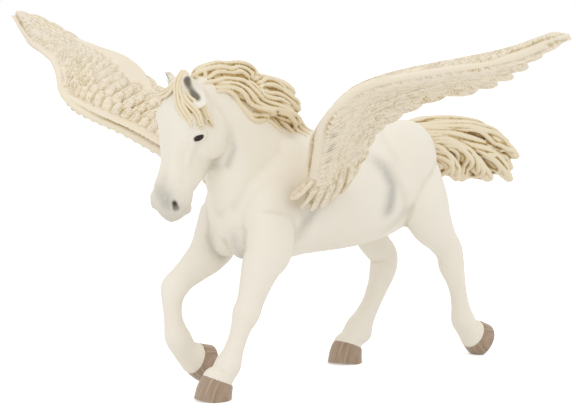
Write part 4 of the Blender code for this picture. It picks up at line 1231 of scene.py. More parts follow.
def mane_shells(strand):
    """Locks blown back from the crest, in waves, over both sides of the neck."""
    locks = (  # place on the crest, length, lift, drop, side, width
        (0.00, 1.00, 3.4, 4.0, -0.1, 1.05),
        (0.03, 0.66, -1.0, 7.0, -1.0, 0.90),
        (0.08, 0.90, 2.0, 7.0, 0.7, 0.95),
        (0.12, 0.84, 0.6, 8.5, -0.8, 1.05),
        (0.20, 0.98, 3.0, 6.5, -0.3, 1.10),
        (0.24, 0.62, -2.0, 11.0, -1.1, 0.95),
        (0.28, 0.76, 0.0, 10.0, 0.9, 1.00),
        (0.36, 1.00, 3.0, 4.0, 0.0, 1.15),
        (0.38, 0.72, -1.0, 10.0, -1.1, 1.00),
        (0.44, 0.86, 1.4, 8.0, -0.6, 1.10),
        (0.50, 0.74, -0.5, 10.0, 0.9, 1.00),
        (0.58, 0.78, 2.4, 6.5, -0.1, 1.10),
        (0.60, 0.60, -1.0, 9.5, -0.9, 0.95),
        (0.70, 0.56, 0.4, 8.5, 0.5, 0.95),
        (0.76, 0.54, 1.4, 8.0, -0.3, 0.95),
        (0.84, 0.42, 0.4, 7.0, 0.1, 0.85),
    )
    scale = MANE_LOCK_LENGTH / 30.0
    thick = MANE_LOCK_WIDTH * 0.74
    lifted = np.array([0.14, 0.0, 0.10]) * MANE_LOCK_WIDTH
    shares = (0.0, 0.25, 0.5, 0.75, 0.95)
    roots = [(*(crest_point(share) + lifted), thick * 0.72, thick * 0.62, thick) for share in shares]
    found = [loft(roots, up=(1, 0, 1))]
    for place, long, lift, drop, side, wide in locks:
        sizes = (MANE_LOCK_LENGTH * long, lift * scale, drop * scale, side, 7.5 * scale, 0.9 * scale)
        path = blown_path(crest_point(place), *sizes)
        width = MANE_LOCK_WIDTH * wide * 0.88
        found.append(lock_core(path, width, thick * wide * 0.88, (0.2, side, 1.0), 0.3))
    shoulder = (  # the mass over the withers
        (-20.0, 0.0, 89.5, 5.6, 4.0, 5.0),
        (-10.0, 0.0, 86.5, 6.2, 3.6, 5.0),
        (-2.5, 0.0, 83.4, 5.4, 2.8, 4.0),
        (2.5, 0.0, 81.4, 3.2, 1.4, 3.0),
    )
    found.append(loft(shoulder, up=(0, 0, 1)))
    tree = tree_of(found, bpy.data.objects["body"])
    for line in MANE_STRANDS:
        found.append(laid_strand(tree, line, LEFT, strand))
        found.append(laid_strand(tree, line, RIGHT, strand, RIGHT_MANE_SLIP))
    return found


def forelock_shells(strand):
    """Hair that falls between the ears and parts over the forehead, most of it to the left."""
    _, face, left = head_axes()
    locks = (  # places down, out and left; width
        (
            ((-0.06, 0.8, 0.8), (0.045, 3.9, 2.2), (0.13, 4.8, 3.3), (0.205, 4.6, 5.4),
             (0.275, 3.6, 7.0), (0.335, 2.4, 7.8)),
            3.4,
        ),
        (
            ((-0.05, 0.6, 1.2), (0.06, 3.8, 2.9), (0.13, 4.2, 4.6), (0.2, 2.6, 7.2),
             (0.27, 0.6, 8.3), (0.345, -1.6, 8.6)),
            3.4,
        ),
        (
            ((-0.04, 0.4, 1.6), (0.06, 3.2, 3.2), (0.12, 3.3, 5.0), (0.16, 1.7, 6.9),
             (0.205, -1.2, 8.1), (0.27, -3.8, 8.5), (0.325, -5.8, 8.5)),
            3.2,
        ),
        (
            ((-0.03, 1.2, 1.4), (0.06, 4.4, 0.2), (0.105, 5.0, -2.2), (0.125, 4.4, -4.6),
             (0.16, 2.6, -6.8), (0.22, 0.8, -8.0)),
            3.4,
        ),
    )
    fall = FORELOCK_LENGTH / 17.0
    found = []
    for places, wide in locks:
        path = [head_point(share * fall, out, side) for share, out, side in places]
        up = face + left * math.copysign(0.6, places[-1][2])
        ripple = (0.25, 9.0, 3.0 * places[0][2])
        found += bundle(path, wide, wide * 0.56, up, 3, strand, ripple)
    return found


TAIL_STRANDS = (  # places backwards and up, from the dock to the end of each strand
    ((48, 83.2), (54.1, 82.9), (61, 83.7), (69.7, 83.7), (80.5, 82.6), (88.1, 81.2), (93.3, 79.6)),
    ((47, 82.2), (52.5, 81.6), (62.9, 82.2), (70, 82.3), (78.9, 81.5), (85.4, 80), (90.2, 79.6),
     (94.7, 78.2), (96.9, 75.6), (98.1, 73.8)),
    ((46, 81.0), (51.5, 80.3), (60.2, 80.6), (70.7, 79.8), (78.9, 79.3), (83.3, 78), (87, 75.8),
     (90.3, 73.9), (92.5, 73.3), (95.5, 72.1), (99.3, 70.9)),
    ((48, 79.8), (53.6, 79.2), (58.5, 78.6), (67.2, 77.8), (72.5, 76), (77.9, 74.1), (83.4, 72.8),
     (88.5, 71), (92.6, 68.3), (95.6, 65.6), (97.9, 64.9)),
    ((51, 76.9), (58.8, 75.8), (63.7, 76), (69.7, 75), (74, 73.3), (77.6, 72.1), (79.4, 70.5),
     (82, 68.1), (87.1, 66.1), (91.9, 64.3), (95.7, 63.1)),
    ((52, 75.4), (59.7, 74.3), (66, 73.9), (70.3, 72.5), (73.5, 69.8), (74.6, 66.3), (75.4, 63)),
    ((60, 75.2), (68.8, 74.3), (73.8, 72.3), (76.7, 69.1), (77.9, 65.6), (78.3, 62.9)),
    ((54, 74.6), (63, 72.8), (67.6, 71.1), (70.8, 68.5), (73, 65.8), (72.8, 62.2)),
    ((54, 73.6), (63.2, 71.1), (67.8, 68.6), (70.0, 66), (71.2, 62.6)),
    ((57, 72.4), (62, 70.4), (65.2, 68.7), (67.6, 67.1), (68.6, 65.4)),
    ((84, 80.9), (88.1, 79.6), (93.3, 78.6), (97.1, 77.0), (99.4, 74.6), (102.7, 72.3)),
    ((79, 74.2), (83.9, 72.7), (88.3, 72.5), (93.1, 71.2), (97.2, 71.3), (101.5, 70.0)),
    ((84, 70.7), (87.6, 70), (92.4, 69.7), (96.9, 68.8), (100.2, 67.4)),
    ((74, 73.4), (78.1, 72), (82.1, 70.3), (86.2, 68.1), (89.9, 64.9), (91.8, 62.3), (94, 60.9)),
    ((76, 71.2), (80.9, 69.4), (83.8, 66.2), (86.8, 63.8), (90.3, 61.2)),
    ((52, 78.0), (59, 77.3), (66, 76.8), (71.7, 74.8), (76.7, 72.6), (80, 69), (81.9, 65.4),
     (83.3, 63.5)),
    ((70, 76.9), (76, 74.6), (82, 71.6), (87.5, 69), (92, 66), (95, 63.6), (96.5, 61.8)),
    ((84, 73.9), (90, 72.2), (95, 69.4), (98, 66.4), (99.4, 64)),
    ((77, 71.6), (80, 69.4), (82.5, 66.6), (84.5, 63.6), (85.4, 61.6)),
    ((70, 73.8), (75, 71.4), (78.6, 68), (80.3, 64.6), (80.8, 62)),
    ((56, 76), (62, 74.6), (66.4, 71.8), (69, 68.4), (70, 65), (70.2, 62.8)),
    ((82, 70.8), (86, 69.2), (90, 67.2), (93, 64.6), (94.5, 62.4)),
    ((48, 82.0), (56, 81.2), (66, 81.2), (76, 80.7), (84, 78.9), (89, 77.9), (94, 75.8),
     (97.5, 72.6)),
    ((50, 79.2), (58, 79.5), (68, 78.7), (76, 76.9), (83, 75.0), (88, 73.3), (93, 69.7), (97, 67.5)),
)


def tail_shells(strand):
    """A full tail carried out behind, in locks that fan and bend down towards their ends."""
    dock = np.array([trunk_x(0.955), 0.0, trunk_z(0.895)])
    locks = (  # length, lift, drop, side, width
        (0.97, 3.6, 0.48, 0.0, 1.05),
        (0.96, 3.0, 0.60, -0.8, 1.05),
        (0.96, 3.0, 0.64, 0.8, 1.05),
        (0.96, 2.0, 0.82, -0.3, 1.10),
        (0.93, 1.6, 0.90, 0.5, 1.10),
        (0.88, 0.6, 1.00, -0.9, 1.05),
        (0.85, 0.4, 0.98, 0.9, 1.05),
        (0.78, -0.6, 1.00, 0.0, 1.05),
        (0.66, -2.0, 0.96, -0.8, 1.05),
        (0.64, -2.0, 0.96, 0.8, 1.05),
        (0.50, -3.2, 0.96, 0.0, 1.00),
        (0.37, -3.0, 0.92, -0.6, 0.95),
        (0.35, -3.0, 0.88, 0.6, 0.95),
        (0.26, -2.4, 0.66, 0.0, 0.90),
    )
    scale = TAIL_LENGTH / 50.0
    found = [tail_core(dock)]
    for long, lift, drop, side, wide in locks:
        sizes = (TAIL_LENGTH * long, lift * scale, TAIL_DROP * drop, side, 6.0 * scale, 0.5 * scale)
        path = blown_path(dock, *sizes)
        path.insert(0, dock + np.array([-0.08, 0.0, -0.05]) * TAIL_LENGTH)
        width = TAIL_LOCK_WIDTH * wide * 0.88
        found.append(lock_core(path, width, width * 0.68, (0.8, 0, 1), 0.45))
    tree = tree_of(found)
    for line in TAIL_STRANDS:
        found.append(laid_strand(tree, line, LEFT, strand))
        found.append(laid_strand(tree, line, RIGHT, strand, RIGHT_TAIL_SLIP))
    return found


# Wings


def swept_row(side, face, count, start, end, width, lift, sweep):
    """A row of overlapping feathers on one face of a wing, which lie back towards the tip on the hand."""
    found = []
    for i in range(count):
        span = 0.15 + 6.0 * i / (count - 1)
        slim = 1.0 - 0.06 * span
        lean = 0.15 + sweep * min(max((span - 2.2) / 1.5, 0.0), 1.0)
        points = [
            wing_point(side, span - 0.3 * lean, start, face * lift * 0.45 * slim),
            wing_point(side, span + 0.25 * lean, (start + end) / 2, face * lift * 0.95 * slim),
            wing_point(side, span + lean, end, face * lift * slim),
        ]
        found.append(feather(points, width * slim, FEATHER_THICKNESS, shingled(side, span, 0.24)))
    return found


def wing_shells(side):
    """Every feather of a wing, in rows that overlap on both faces, over its smooth front edge."""
    roots = root_feathers(side)[2 if side == RIGHT else 0 :]
    smooth = [(points, faces, pattern * 0) for points, faces, pattern in wing_plate(side)]
    shells = smooth + flight_feathers(side) + roots
    rows = (  # count, start and end on the chord, width, lift and sweep
        (26, 0.36, 0.80, 5.2, 1.05, 0.55),
        (30, 0.26, 0.62, 4.6, 1.70, 0.60),
        (34, 0.16, 0.46, 4.1, 2.35, 0.65),
        (40, 0.07, 0.32, 3.5, 2.85, 0.65),
    )
    for face in (1, -1):
        for row in rows:
            shells += swept_row(side, face, *row)
    return shells


def wing_marks(side):
    """Painted shade in the slits between the lower feathers, beside the front edge and on the hand."""
    found = []
    for i in range(10):
        span = 1.65 + 0.12 * i
        top = wing_frame(side, span)[2]
        long = 0.09 + 0.03 * math.sin(2.4 * i)
        start, end = wing_point(side, span, 0.115), wing_point(side, span + 0.1, 0.115 + long)
        found.append(([start - top * 2.4, end - top * 2.4], 0.40, 0.8))
    slits = ((3.5, 0.50, 0.26), (3.85, 0.52, 0.2), (4.9, 0.44, 0.14), (5.3, 0.2, 0.16), (6.6, 0.3, 0.4))
    for span, across, long in slits:
        top = wing_frame(side, span)[2]
        ends = [wing_point(side, span + step, across) - top * 1.8 for step in (-long / 2, long / 2)]
        found.append((ends, 0.5, 0.8))
    return found


# Materials


def fill(tree, node, inputs):
    """The node with each input set to a value or linked to a socket."""
    for name, value in inputs.items():
        if isinstance(value, bpy.types.NodeSocket):
            tree.links.new(value, node.inputs[name])
        else:
            node.inputs[name].default_value = value
    return node


def add(tree, kind, inputs=None, **settings):
    """A new node with its settings and inputs."""
    made = tree.nodes.new(kind)
    for name, value in settings.items():
        setattr(made, name, value)
    return fill(tree, made, inputs or {})


def sum_of(tree, operation, *values):
    """A Math node's result."""
    return add(tree, "ShaderNodeMath", dict(enumerate(values)), operation=operation).outputs[0]


def new_group(name, inputs, outputs):
    """A shader node group with its sockets. inputs and outputs are (name, type, default)."""
    group = bpy.data.node_groups.new(name, "ShaderNodeTree")
    for label, kind, default in inputs:
        socket = group.interface.new_socket(name=label, in_out="INPUT", socket_type=kind)
        socket.default_value = default
    for label, kind in outputs:
        group.interface.new_socket(name=label, in_out="OUTPUT", socket_type=kind)
    return group, group.nodes.new("NodeGroupInput"), group.nodes.new("NodeGroupOutput")


def noise_at(tree, scale, detail):
    """Noise over the piece, with scale in cells a metre."""
    place = add(tree, "ShaderNodeTexCoord")
    inputs = {"Vector": place.outputs["Object"], "Scale": scale, "Detail": detail, "Roughness": 0.6}
    return add(tree, "ShaderNodeTexNoise", inputs).outputs["Fac"]


def between(tree, value, low, high):
    """The value spread from low..high to 0..1, with soft ends."""
    inputs = {"Value": value, "From Min": low, "From Max": high}
    return add(tree, "ShaderNodeMapRange", inputs, interpolation_type="SMOOTHSTEP").outputs["Result"]


def mixed_colour(tree, share, a, b, blend="MIX"):
    """A Mix node's colour. Its colour sockets are the seventh and eighth."""
    mix = add(tree, "ShaderNodeMix", data_type="RGBA", blend_type=blend)
    return fill(tree, mix, {0: share, 6: a, 7: b}).outputs[2]


def wash_and_shade_group():
    """A colour laid into the hollows of a moulded surface and kept off the ridges: a wiped paint wash on the
    hair and feathers, painted shade on the coat.
    """
    inputs = (
        ("Ridge", "NodeSocketColor", (0.85, 0.78, 0.62, 1)),
        ("Hollow", "NodeSocketColor", (0.5, 0.38, 0.18, 1)),
        ("Groove", "NodeSocketFloat", 0.5),
        ("Amount", "NodeSocketFloat", 1.0),
    )
    group, enter, leave = new_group("hollow_wash_and_shade", inputs, (("Color", "NodeSocketColor"),))
    deep = between(group, enter.outputs["Groove"], 0.42, 0.84)
    patch = sum_of(group, "MULTIPLY_ADD", between(group, noise_at(group, 110.0, 3.0), 0.3, 0.75), 0.7, 0.4)
    share = sum_of(group, "MULTIPLY", sum_of(group, "MULTIPLY", deep, patch), enter.outputs["Amount"])
    share = sum_of(group, "MINIMUM", share, 1.0)
    colour = mixed_colour(group, share, enter.outputs["Ridge"], enter.outputs["Hollow"])
    group.links.new(colour, leave.inputs["Color"])
    return group


def mould_group():
    """The fine uneven skin that a mould leaves on matt vinyl."""
    inputs = (("Strength", "NodeSocketFloat", 0.2), ("Normal In", "NodeSocketVector", (0, 0, 0)))
    outputs = (("Normal", "NodeSocketVector"), ("Grain", "NodeSocketFloat"))
    group, enter, leave = new_group("mould_skin", inputs, outputs)
    coarse = noise_at(group, 420.0, 3.0)
    height = sum_of(group, "MULTIPLY_ADD", noise_at(group, 2600.0, 2.0), 0.35, coarse)
    inputs = {"Strength": enter.outputs["Strength"], "Distance": 0.0002, "Height": height}
    bump = add(group, "ShaderNodeBump", {**inputs, "Normal": enter.outputs["Normal In"]})
    group.links.new(bump.outputs["Normal"], leave.inputs["Normal"])
    group.links.new(coarse, leave.inputs["Grain"])
    return group


def barb_group():
    """A feather's shaft and slanting barbs, uneven as carved ones, from its pattern in millimetres."""
    inputs = (("Pitch", "NodeSocketFloat", 1.0), ("Slant", "NodeSocketFloat", 1.3))
    outputs = (("Height", "NodeSocketFloat"), ("Hollow", "NodeSocketFloat"))
    group, enter, leave = new_group("feather_barbs", inputs, outputs)
    flow = add(group, "ShaderNodeUVMap", uv_map="flow")
    parts = add(group, "ShaderNodeSeparateXYZ", {0: flow.outputs["UV"]})
    along = sum_of(group, "MULTIPLY", parts.outputs["X"], PATTERN_SCALE)
    side = sum_of(group, "MULTIPLY", sum_of(group, "ABSOLUTE", parts.outputs["Y"]), PATTERN_SCALE)
    phase = sum_of(group, "SUBTRACT", along, sum_of(group, "MULTIPLY", side, enter.outputs["Slant"]))
    phase = sum_of(group, "MULTIPLY_ADD", noise_at(group, 380.0, 2.0), 3.2, phase)
    turns = sum_of(group, "DIVIDE", phase, enter.outputs["Pitch"])
    wave = sum_of(group, "SINE", sum_of(group, "MULTIPLY", turns, 2 * math.pi))
    cut = sum_of(group, "SUBTRACT", 1.0, between(group, wave, -0.95, 0.2))
    faint = between(group, noise_at(group, 520.0, 3.0), 0.36, 0.62)
    shaft = between(group, side, 0.1, 0.4)
    hollow = sum_of(group, "MULTIPLY", sum_of(group, "MULTIPLY", cut, faint), shaft)
    group.links.new(sum_of(group, "SUBTRACT", 1.0, hollow), leave.inputs["Height"])
    group.links.new(hollow, leave.inputs["Hollow"])
    return group


def use_group(tree, name, maker, inputs):
    """A node group, made once, with this material's own values."""
    group = bpy.data.node_groups.get(name) or maker()
    return fill(tree, add(tree, "ShaderNodeGroup", node_tree=group), inputs)


def new_paint(name, roughness, specular):
    """A material of painted vinyl, and its shader."""
    paint = bpy.data.materials.new(name)
    paint.use_nodes = True
    tree = paint.node_tree
    values = {"Roughness": roughness, "Specular IOR Level": specular}
    return paint, tree, fill(tree, tree.nodes["Principled BSDF"], values)


def layer(tree, name):
    return add(tree, "ShaderNodeAttribute", attribute_name=name).outputs["Fac"]


def rgba(colour):
    return (*colour, 1.0)


def coat_paint(looks):
    """Warm white with grey airbrushing, painted shade in its hollows and creases, and dark hollows in the
    ears and nostrils.
    """
    paint, tree, shader = new_paint("ivory_coat", 0.5, 0.35)
    # The coat's shade colour goes into its hollows and creases through the groove layer: painted shade.
    inputs = {"Ridge": rgba(looks.coat), "Hollow": rgba(looks.coat_shade), "Groove": layer(tree, "groove")}
    wash_and_shade = use_group(tree, "hollow_wash_and_shade", wash_and_shade_group, {**inputs, "Amount": 0.7})
    cloud = between(tree, noise_at(tree, 700.0, 3.0), 0.0, 0.5)
    sprayed = sum_of(tree, "MULTIPLY", layer(tree, "airbrush"), cloud)
    colour = mixed_colour(tree, sprayed, wash_and_shade.outputs["Color"], rgba(looks.airbrush))
    warm = sum_of(tree, "MULTIPLY", between(tree, noise_at(tree, 45.0, 2.0), 0.3, 0.7), 0.2)
    colour = mixed_colour(tree, warm, colour, (0.93, 0.88, 0.78, 1), "MULTIPLY")
    colour = mixed_colour(tree, layer(tree, "dark"), colour, rgba(looks.hollows))
    mould = use_group(tree, "mould_skin", mould_group, {"Strength": 0.2})
    rough = sum_of(tree, "MULTIPLY_ADD", between(tree, mould.outputs["Grain"], 0.3, 0.7), 0.12, 0.44)
    fill(tree, shader, {"Base Color": colour, "Roughness": rough, "Normal": mould.outputs["Normal"]})
    return paint


def hair_paint(looks):
    """Cream hair with ochre wiped into its grooves, browner in the deepest ones, where the wash carries
    painted shade.
    """
    paint, tree, shader = new_paint("cream_hair", 0.5, 0.35)
    groove = layer(tree, "groove")
    inputs = {"Ridge": rgba(looks.ridge), "Hollow": rgba(looks.hollow), "Groove": groove}
    wash_and_shade = use_group(tree, "hollow_wash_and_shade", wash_and_shade_group, {**inputs, "Amount": 1.7})
    # The deepest grooves take a darker brown: the ochre wash with painted shade over it.
    deepest = sum_of(tree, "MULTIPLY", between(tree, groove, 0.74, 1.0), 0.75)
    colour = mixed_colour(tree, deepest, wash_and_shade.outputs["Color"], rgba(looks.deepest))
    mould = use_group(tree, "mould_skin", mould_group, {"Strength": 0.3})
    fill(tree, shader, {"Base Color": colour, "Normal": mould.outputs["Normal"]})
    return paint


def feather_paint(looks):
    """Cream feathers with ochre in their barbs and between them, a greyer pink where it is thin, and painted
    shade in the slits between the lower feathers.
    """
    paint, tree, shader = new_paint("cream_feathers", 0.52, 0.35)
    barbs = use_group(tree, "feather_barbs", barb_group, {"Pitch": looks.barb_pitch / MM})
    pale = sum_of(tree, "MULTIPLY", between(tree, noise_at(tree, 90.0, 5.0), 0.36, 0.66), 0.6)
    ridge = mixed_colour(tree, pale, rgba(looks.ridge), rgba(looks.bloom))
    marks = sum_of(tree, "MULTIPLY_ADD", barbs.outputs["Hollow"], 0.46, layer(tree, "groove"))
    inputs = {"Ridge": ridge, "Hollow": rgba(looks.hollow), "Amount": 0.95}
    wash_and_shade = use_group(tree, "hollow_wash_and_shade", wash_and_shade_group, {**inputs, "Groove": marks})
    # The dark layer puts painted shade into the slits between the feathers.
    colour = mixed_colour(tree, layer(tree, "dark"), wash_and_shade.outputs["Color"], rgba(looks.slits))
    inputs = {"Strength": 0.5, "Distance": 0.00015, "Height": barbs.outputs["Height"]}
    bump = add(tree, "ShaderNodeBump", inputs)
    inputs = {"Strength": 0.3, "Normal In": bump.outputs["Normal"]}
    mould = use_group(tree, "mould_skin", mould_group, inputs)
    fill(tree, shader, {"Base Color": colour, "Normal": mould.outputs["Normal"]})
    return paint


def hoof_paint(looks):
    """Satin brown with fine lighter streaks down the wall, and a dark edge colour that follows the groove
    layer, which the hooves set to nought.
    """
    paint, tree, shader = new_paint("brown_hoof", 0.36, 0.4)
    flow = add(tree, "ShaderNodeUVMap", uv_map="flow")
    inputs = {0: flow.outputs["UV"], 1: (6.0, 160.0, 1.0)}
    scaled = add(tree, "ShaderNodeVectorMath", inputs, operation="MULTIPLY")
    streaks = add(tree, "ShaderNodeTexNoise", {"Vector": scaled.outputs[0], "Scale": 1.0, "Detail": 4.0})
    streak = between(tree, streaks.outputs["Fac"], 0.3, 0.7)
    colour = mixed_colour(tree, streak, rgba(looks.horn), rgba(looks.horn_light))
    colour = mixed_colour(tree, layer(tree, "groove"), colour, rgba(looks.horn_edge))
    bump = add(tree, "ShaderNodeBump", {"Strength": 0.25, "Distance": 0.0002, "Height": streak})
    inputs = {"Strength": 0.2, "Normal In": bump.outputs["Normal"]}
    mould = use_group(tree, "mould_skin", mould_group, inputs)
    fill(tree, shader, {"Base Color": colour, "Normal": mould.outputs["Normal"]})
    return paint


def eye_paint(looks):
    """Near-black brown under a gloss coat."""
    paint, tree, shader = new_paint("dark_eye", 0.35, 0.25)
    cloud = between(tree, noise_at(tree, 900.0, 2.0), 0.35, 0.65)
    colour = mixed_colour(tree, cloud, rgba(looks.eye), (0.030, 0.016, 0.010, 1))
    fill(tree, shader, {"Base Color": colour, "Coat Weight": 0.08})
    return paint


def finish_piece(piece, paint):
    """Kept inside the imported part's box, shaded smooth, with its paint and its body."""
    box = [np.array(corner) / MM + np.array(WITHERS) for corner in CAD_BOX]
    set_points(piece.data, np.clip(points_of(piece.data), *box))
    piece.data.materials.clear()
    piece.data.materials.append(paint)
    piece.data.shade_smooth()
    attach(piece, "root")
    print(piece.name, sum(len(face.vertices) - 2 for face in piece.data.polygons), "triangles")
    return piece


# Sizes and colours that a user would change


def length(name, default, description):
    return bpy.props.FloatProperty(
        name=name, default=default, min=0.0, subtype="DISTANCE", unit="LENGTH", description=description
    )


def colour(name, default, description):
    return bpy.props.FloatVectorProperty(
        name=name, default=default, size=3, min=0.0, max=1.0, subtype="COLOR", description=description
    )


def factor(name, default, description):
    return bpy.props.FloatProperty(
        name=name, default=default, min=0.0, max=2.0, subtype="FACTOR", description=description
    )


def angle_setting(name, degrees, description):
    return bpy.props.FloatProperty(
        name=name, default=math.radians(degrees), subtype="ANGLE", unit="ROTATION", description=description
    )


class PegasusBodyLooks(bpy.types.PropertyGroup):
    skin_voxel: length("Skin Voxel", 0.00062, "Size of the voxels that fuse the body")
    coat: colour("Coat", (0.87, 0.82, 0.72), "Warm white of the body")
    # Coat Shade is painted shade: the body's colour in shade, laid into its hollows and creases.
    coat_shade: colour("Coat Shade", (0.64, 0.57, 0.45), "Body colour in its hollows")
    airbrush: colour("Airbrush", (0.37, 0.355, 0.315), "Grey sprayed on the muzzle, folds and flanks")
    hollows: colour("Hollows", (0.058, 0.047, 0.022), "Inside the ears and nostrils")
    eye: colour("Eye", (0.012, 0.006, 0.004), "Eyes")
    horn: colour("Horn", (0.315, 0.215, 0.14), "Hooves")
    horn_light: colour("Light Horn", (0.47, 0.36, 0.27), "Worn streaks of the hooves")
    horn_edge: colour("Horn Edge", (0.11, 0.065, 0.045), "Dark edges of the hooves")


class PegasusHairLooks(bpy.types.PropertyGroup):
    hair_voxel: length("Hair Voxel", 0.00034, "Size of the voxels that fuse the hair")
    strand: length("Strand", 0.00155, "Width of a strand of hair")
    ridge: colour("Ridge", (0.83, 0.725, 0.53), "Top of the strands")
    hollow: colour("Groove", (0.48, 0.33, 0.12), "Wash in the grooves")
    # Deepest Groove is the ochre wash darkened by painted shade.
    deepest: colour("Deepest Groove", (0.19, 0.115, 0.035), "Wash in the deepest grooves")


class PegasusWingLooks(bpy.types.PropertyGroup):
    wing_voxel: length("Wing Voxel", 0.0004, "Size of the voxels that fuse the feathers")
    barb_pitch: length("Barb Pitch", 0.0011, "Distance from barb to barb")
    ridge: colour("Feather", (0.86, 0.77, 0.60), "Feathers")
    hollow: colour("Barb Grooves", (0.49, 0.345, 0.14), "Wash between the barbs")
    bloom: colour("Thin Paint", (0.83, 0.745, 0.63), "Pinkish grey where the paint is thin")
    # Slits is painted shade for the gaps between the lower feathers.
    slits: colour("Slits", (0.20, 0.15, 0.055), "Dark slits between the feathers")


class PegasusStageLooks(bpy.types.PropertyGroup):
    azimuth: angle_setting("Azimuth", -42.0, "Camera's bearing, 0 looks along +Y")
    elevation: angle_setting("Elevation", 6.3, "Camera's height above the horizon")
    distance: length("Distance", 0.672, "Camera to target")
    focal_length: bpy.props.FloatProperty(
        name="Focal Length", default=128.0, subtype="DISTANCE_CAMERA", description="Lens, on a 36 mm sensor"
    )
    floor: colour("Floor", (0.92, 0.92, 0.92), "Floor")
    floor_glow: factor("Floor Glow", 0.45, "How much white the camera sees added to the floor")
    key_power: bpy.props.FloatProperty(
        name="Key", default=1.55, min=0.0, unit="POWER", description="Large soft lamp at the front left"
    )
    room_light: factor("Room Light", 0.86, "Light from all round")


# Operators


def start_clean():
    bpy.ops.object.select_all(action="DESELECT")


class PEGASUS_OT_body(bpy.types.Operator):
    """Build the horse's skin, with its face and legs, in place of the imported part"""

    bl_idname = "pegasus.body"
    bl_label = "Body"

    def execute(self, context):
        start_clean()
        looks = context.scene.pegasus_body
        voxel = looks.skin_voxel / MM
        torso = fused(placed("torso", torso_shells()), voxel, rounds=12)
        piece = joined(placed("body", [*head(), *legs()]), torso)
        piece = outer_skin(fused(piece, voxel, rounds=5))
        piece = finer_where(piece, on_head)
        piece = dented(carved(piece, face_moves() + body_moves()), face_dents())
        # The groove layer marks the creases that take the coat's painted shade.
        groove_layer(piece, rounds=14, depth=0.35)
        lines_layer(piece, "airbrush", airbrushed())
        lines_layer(piece, "dark", darkened())
        finish_piece(piece, coat_paint(looks))
        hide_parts(NODE)
        return {"FINISHED"}


class PEGASUS_OT_ears(bpy.types.Operator):
    """Shape the two pricked ears with their dark hollows"""

    bl_idname = "pegasus.ears"
    bl_label = "Ears"

    def execute(self, context):
        start_clean()
        looks = context.scene.pegasus_body
        piece = fused(placed("ears", pricked_ears()), EAR_VOXEL, rounds=2)
        # The ears' creases take the coat's painted shade through this layer.
        groove_layer(piece, rounds=6, depth=0.3)
        points = points_of(piece.data)
        set_layer(piece.data, "airbrush", np.zeros(len(points)))
        set_layer(piece.data, "dark", 0.85 * ear_hollow(points))
        finish_piece(piece, coat_paint(looks))
        return {"FINISHED"}


class PEGASUS_OT_eyes(bpy.types.Operator):
    """Set the two dark eyes between their lids"""

    bl_idname = "pegasus.eyes"
    bl_label = "Eyes"

    def execute(self, context):
        start_clean()
        shells = []
        for side in (LEFT, RIGHT):
            points, faces, pattern = ball((0, 0, 0), (EYE_SIZE * 0.53, EYE_SIZE * 0.31, 0.85))
            axes = np.stack(eye_axes(side))
            shells.append((points @ axes + eye_centre(side) - axes[2] * 0.55, faces, pattern))
        finish_piece(placed("eyes", shells), eye_paint(context.scene.pegasus_body))
        return {"FINISHED"}


class PEGASUS_OT_hooves(bpy.types.Operator):
    """Model the four hooves, with a step at the coronet and a flat sole"""

    bl_idname = "pegasus.hooves"
    bl_label = "Hooves"

    def execute(self, context):
        start_clean()
        shells = []
        for stations in leg_sections():
            sole, wall, coronet, pastern = [np.array(row) for row in stations[:4]]
            top = (*mixed(wall, coronet, 0.96)[:3], *(coronet[3:] * 0.99))
            inside = (*mixed(coronet, pastern, 0.25)[:3], *(coronet[3:] * 0.6))
            rim = (*sole[:3], *(sole[3:] * 0.985))
            rows = [(*sole[:3], *(sole[3:] * 0.86)), rim, mixed(sole, wall, 0.12), wall, top, inside]
            shells.append(loft(rows, up=(-1, 0, 0), sides=32, per_span=5))
        piece = placed("hooves", shells)
        points = points_of(piece.data)
        points[:, 2] = np.maximum(points[:, 2], 0.0)
        set_points(piece.data, points)
        set_layer(piece.data, "groove", np.zeros(len(points)))
        finish_piece(piece, hoof_paint(context.scene.pegasus_body))
        return {"FINISHED"}


class PEGASUS_OT_hair(bpy.types.Operator):
    """Carve the mane, the forelock and the tail in wavy strands"""

    bl_idname = "pegasus.hair"
    bl_label = "Hair"

    def execute(self, context):
        start_clean()
        looks = context.scene.pegasus_hair
        paint = hair_paint(looks)
        strand = looks.strand / MM
        groups = (  # name, shells, share of the hair's voxel size
            ("mane", mane_shells(strand), 1.0),
            ("forelock", forelock_shells(strand * FORELOCK_STRAND), 0.65),
            ("tail", tail_shells(strand * TAIL_STRAND), 1.0),
        )
        for name, shells, share in groups:
            piece = outer_skin(fused(placed(name, shells), looks.hair_voxel * share / MM, rounds=1))
            groove_layer(piece, rounds=8, depth=0.14 * share)
            finish_piece(piece, paint)
        return {"FINISHED"}


class PEGASUS_OT_wings(bpy.types.Operator):
    """Lay the feathers of both wings in overlapping rows"""

    bl_idname = "pegasus.wings"
    bl_label = "Wings"

    def execute(self, context):
        start_clean()
        looks = context.scene.pegasus_wings
        paint = feather_paint(looks)
        for side, name in ((LEFT, "wing_left"), (RIGHT, "wing_right")):
            shells = wing_shells(side)
            source = placed("feathers", shells)
            piece = outer_skin(fused(placed(name, shells), looks.wing_voxel / MM, rounds=1))
            groove_layer(piece, rounds=8, depth=0.22)
            # The slits between the lower feathers take painted shade.
            lines_layer(piece, "dark", wing_marks(side))
            finish_piece(flow_from(piece, source), paint)
        return {"FINISHED"}


class PEGASUS_OT_stage(bpy.types.Operator):
    """Set the pale floor, the soft lights and the camera"""

    bl_idname = "pegasus.stage"
    bl_label = "Stage"

    def execute(self, context):
        start_clean()
        looks = context.scene.pegasus_stage
        make_floor(looks)
        make_world(looks)
        make_lamps(looks)
        make_camera(looks)
        return {"FINISHED"}


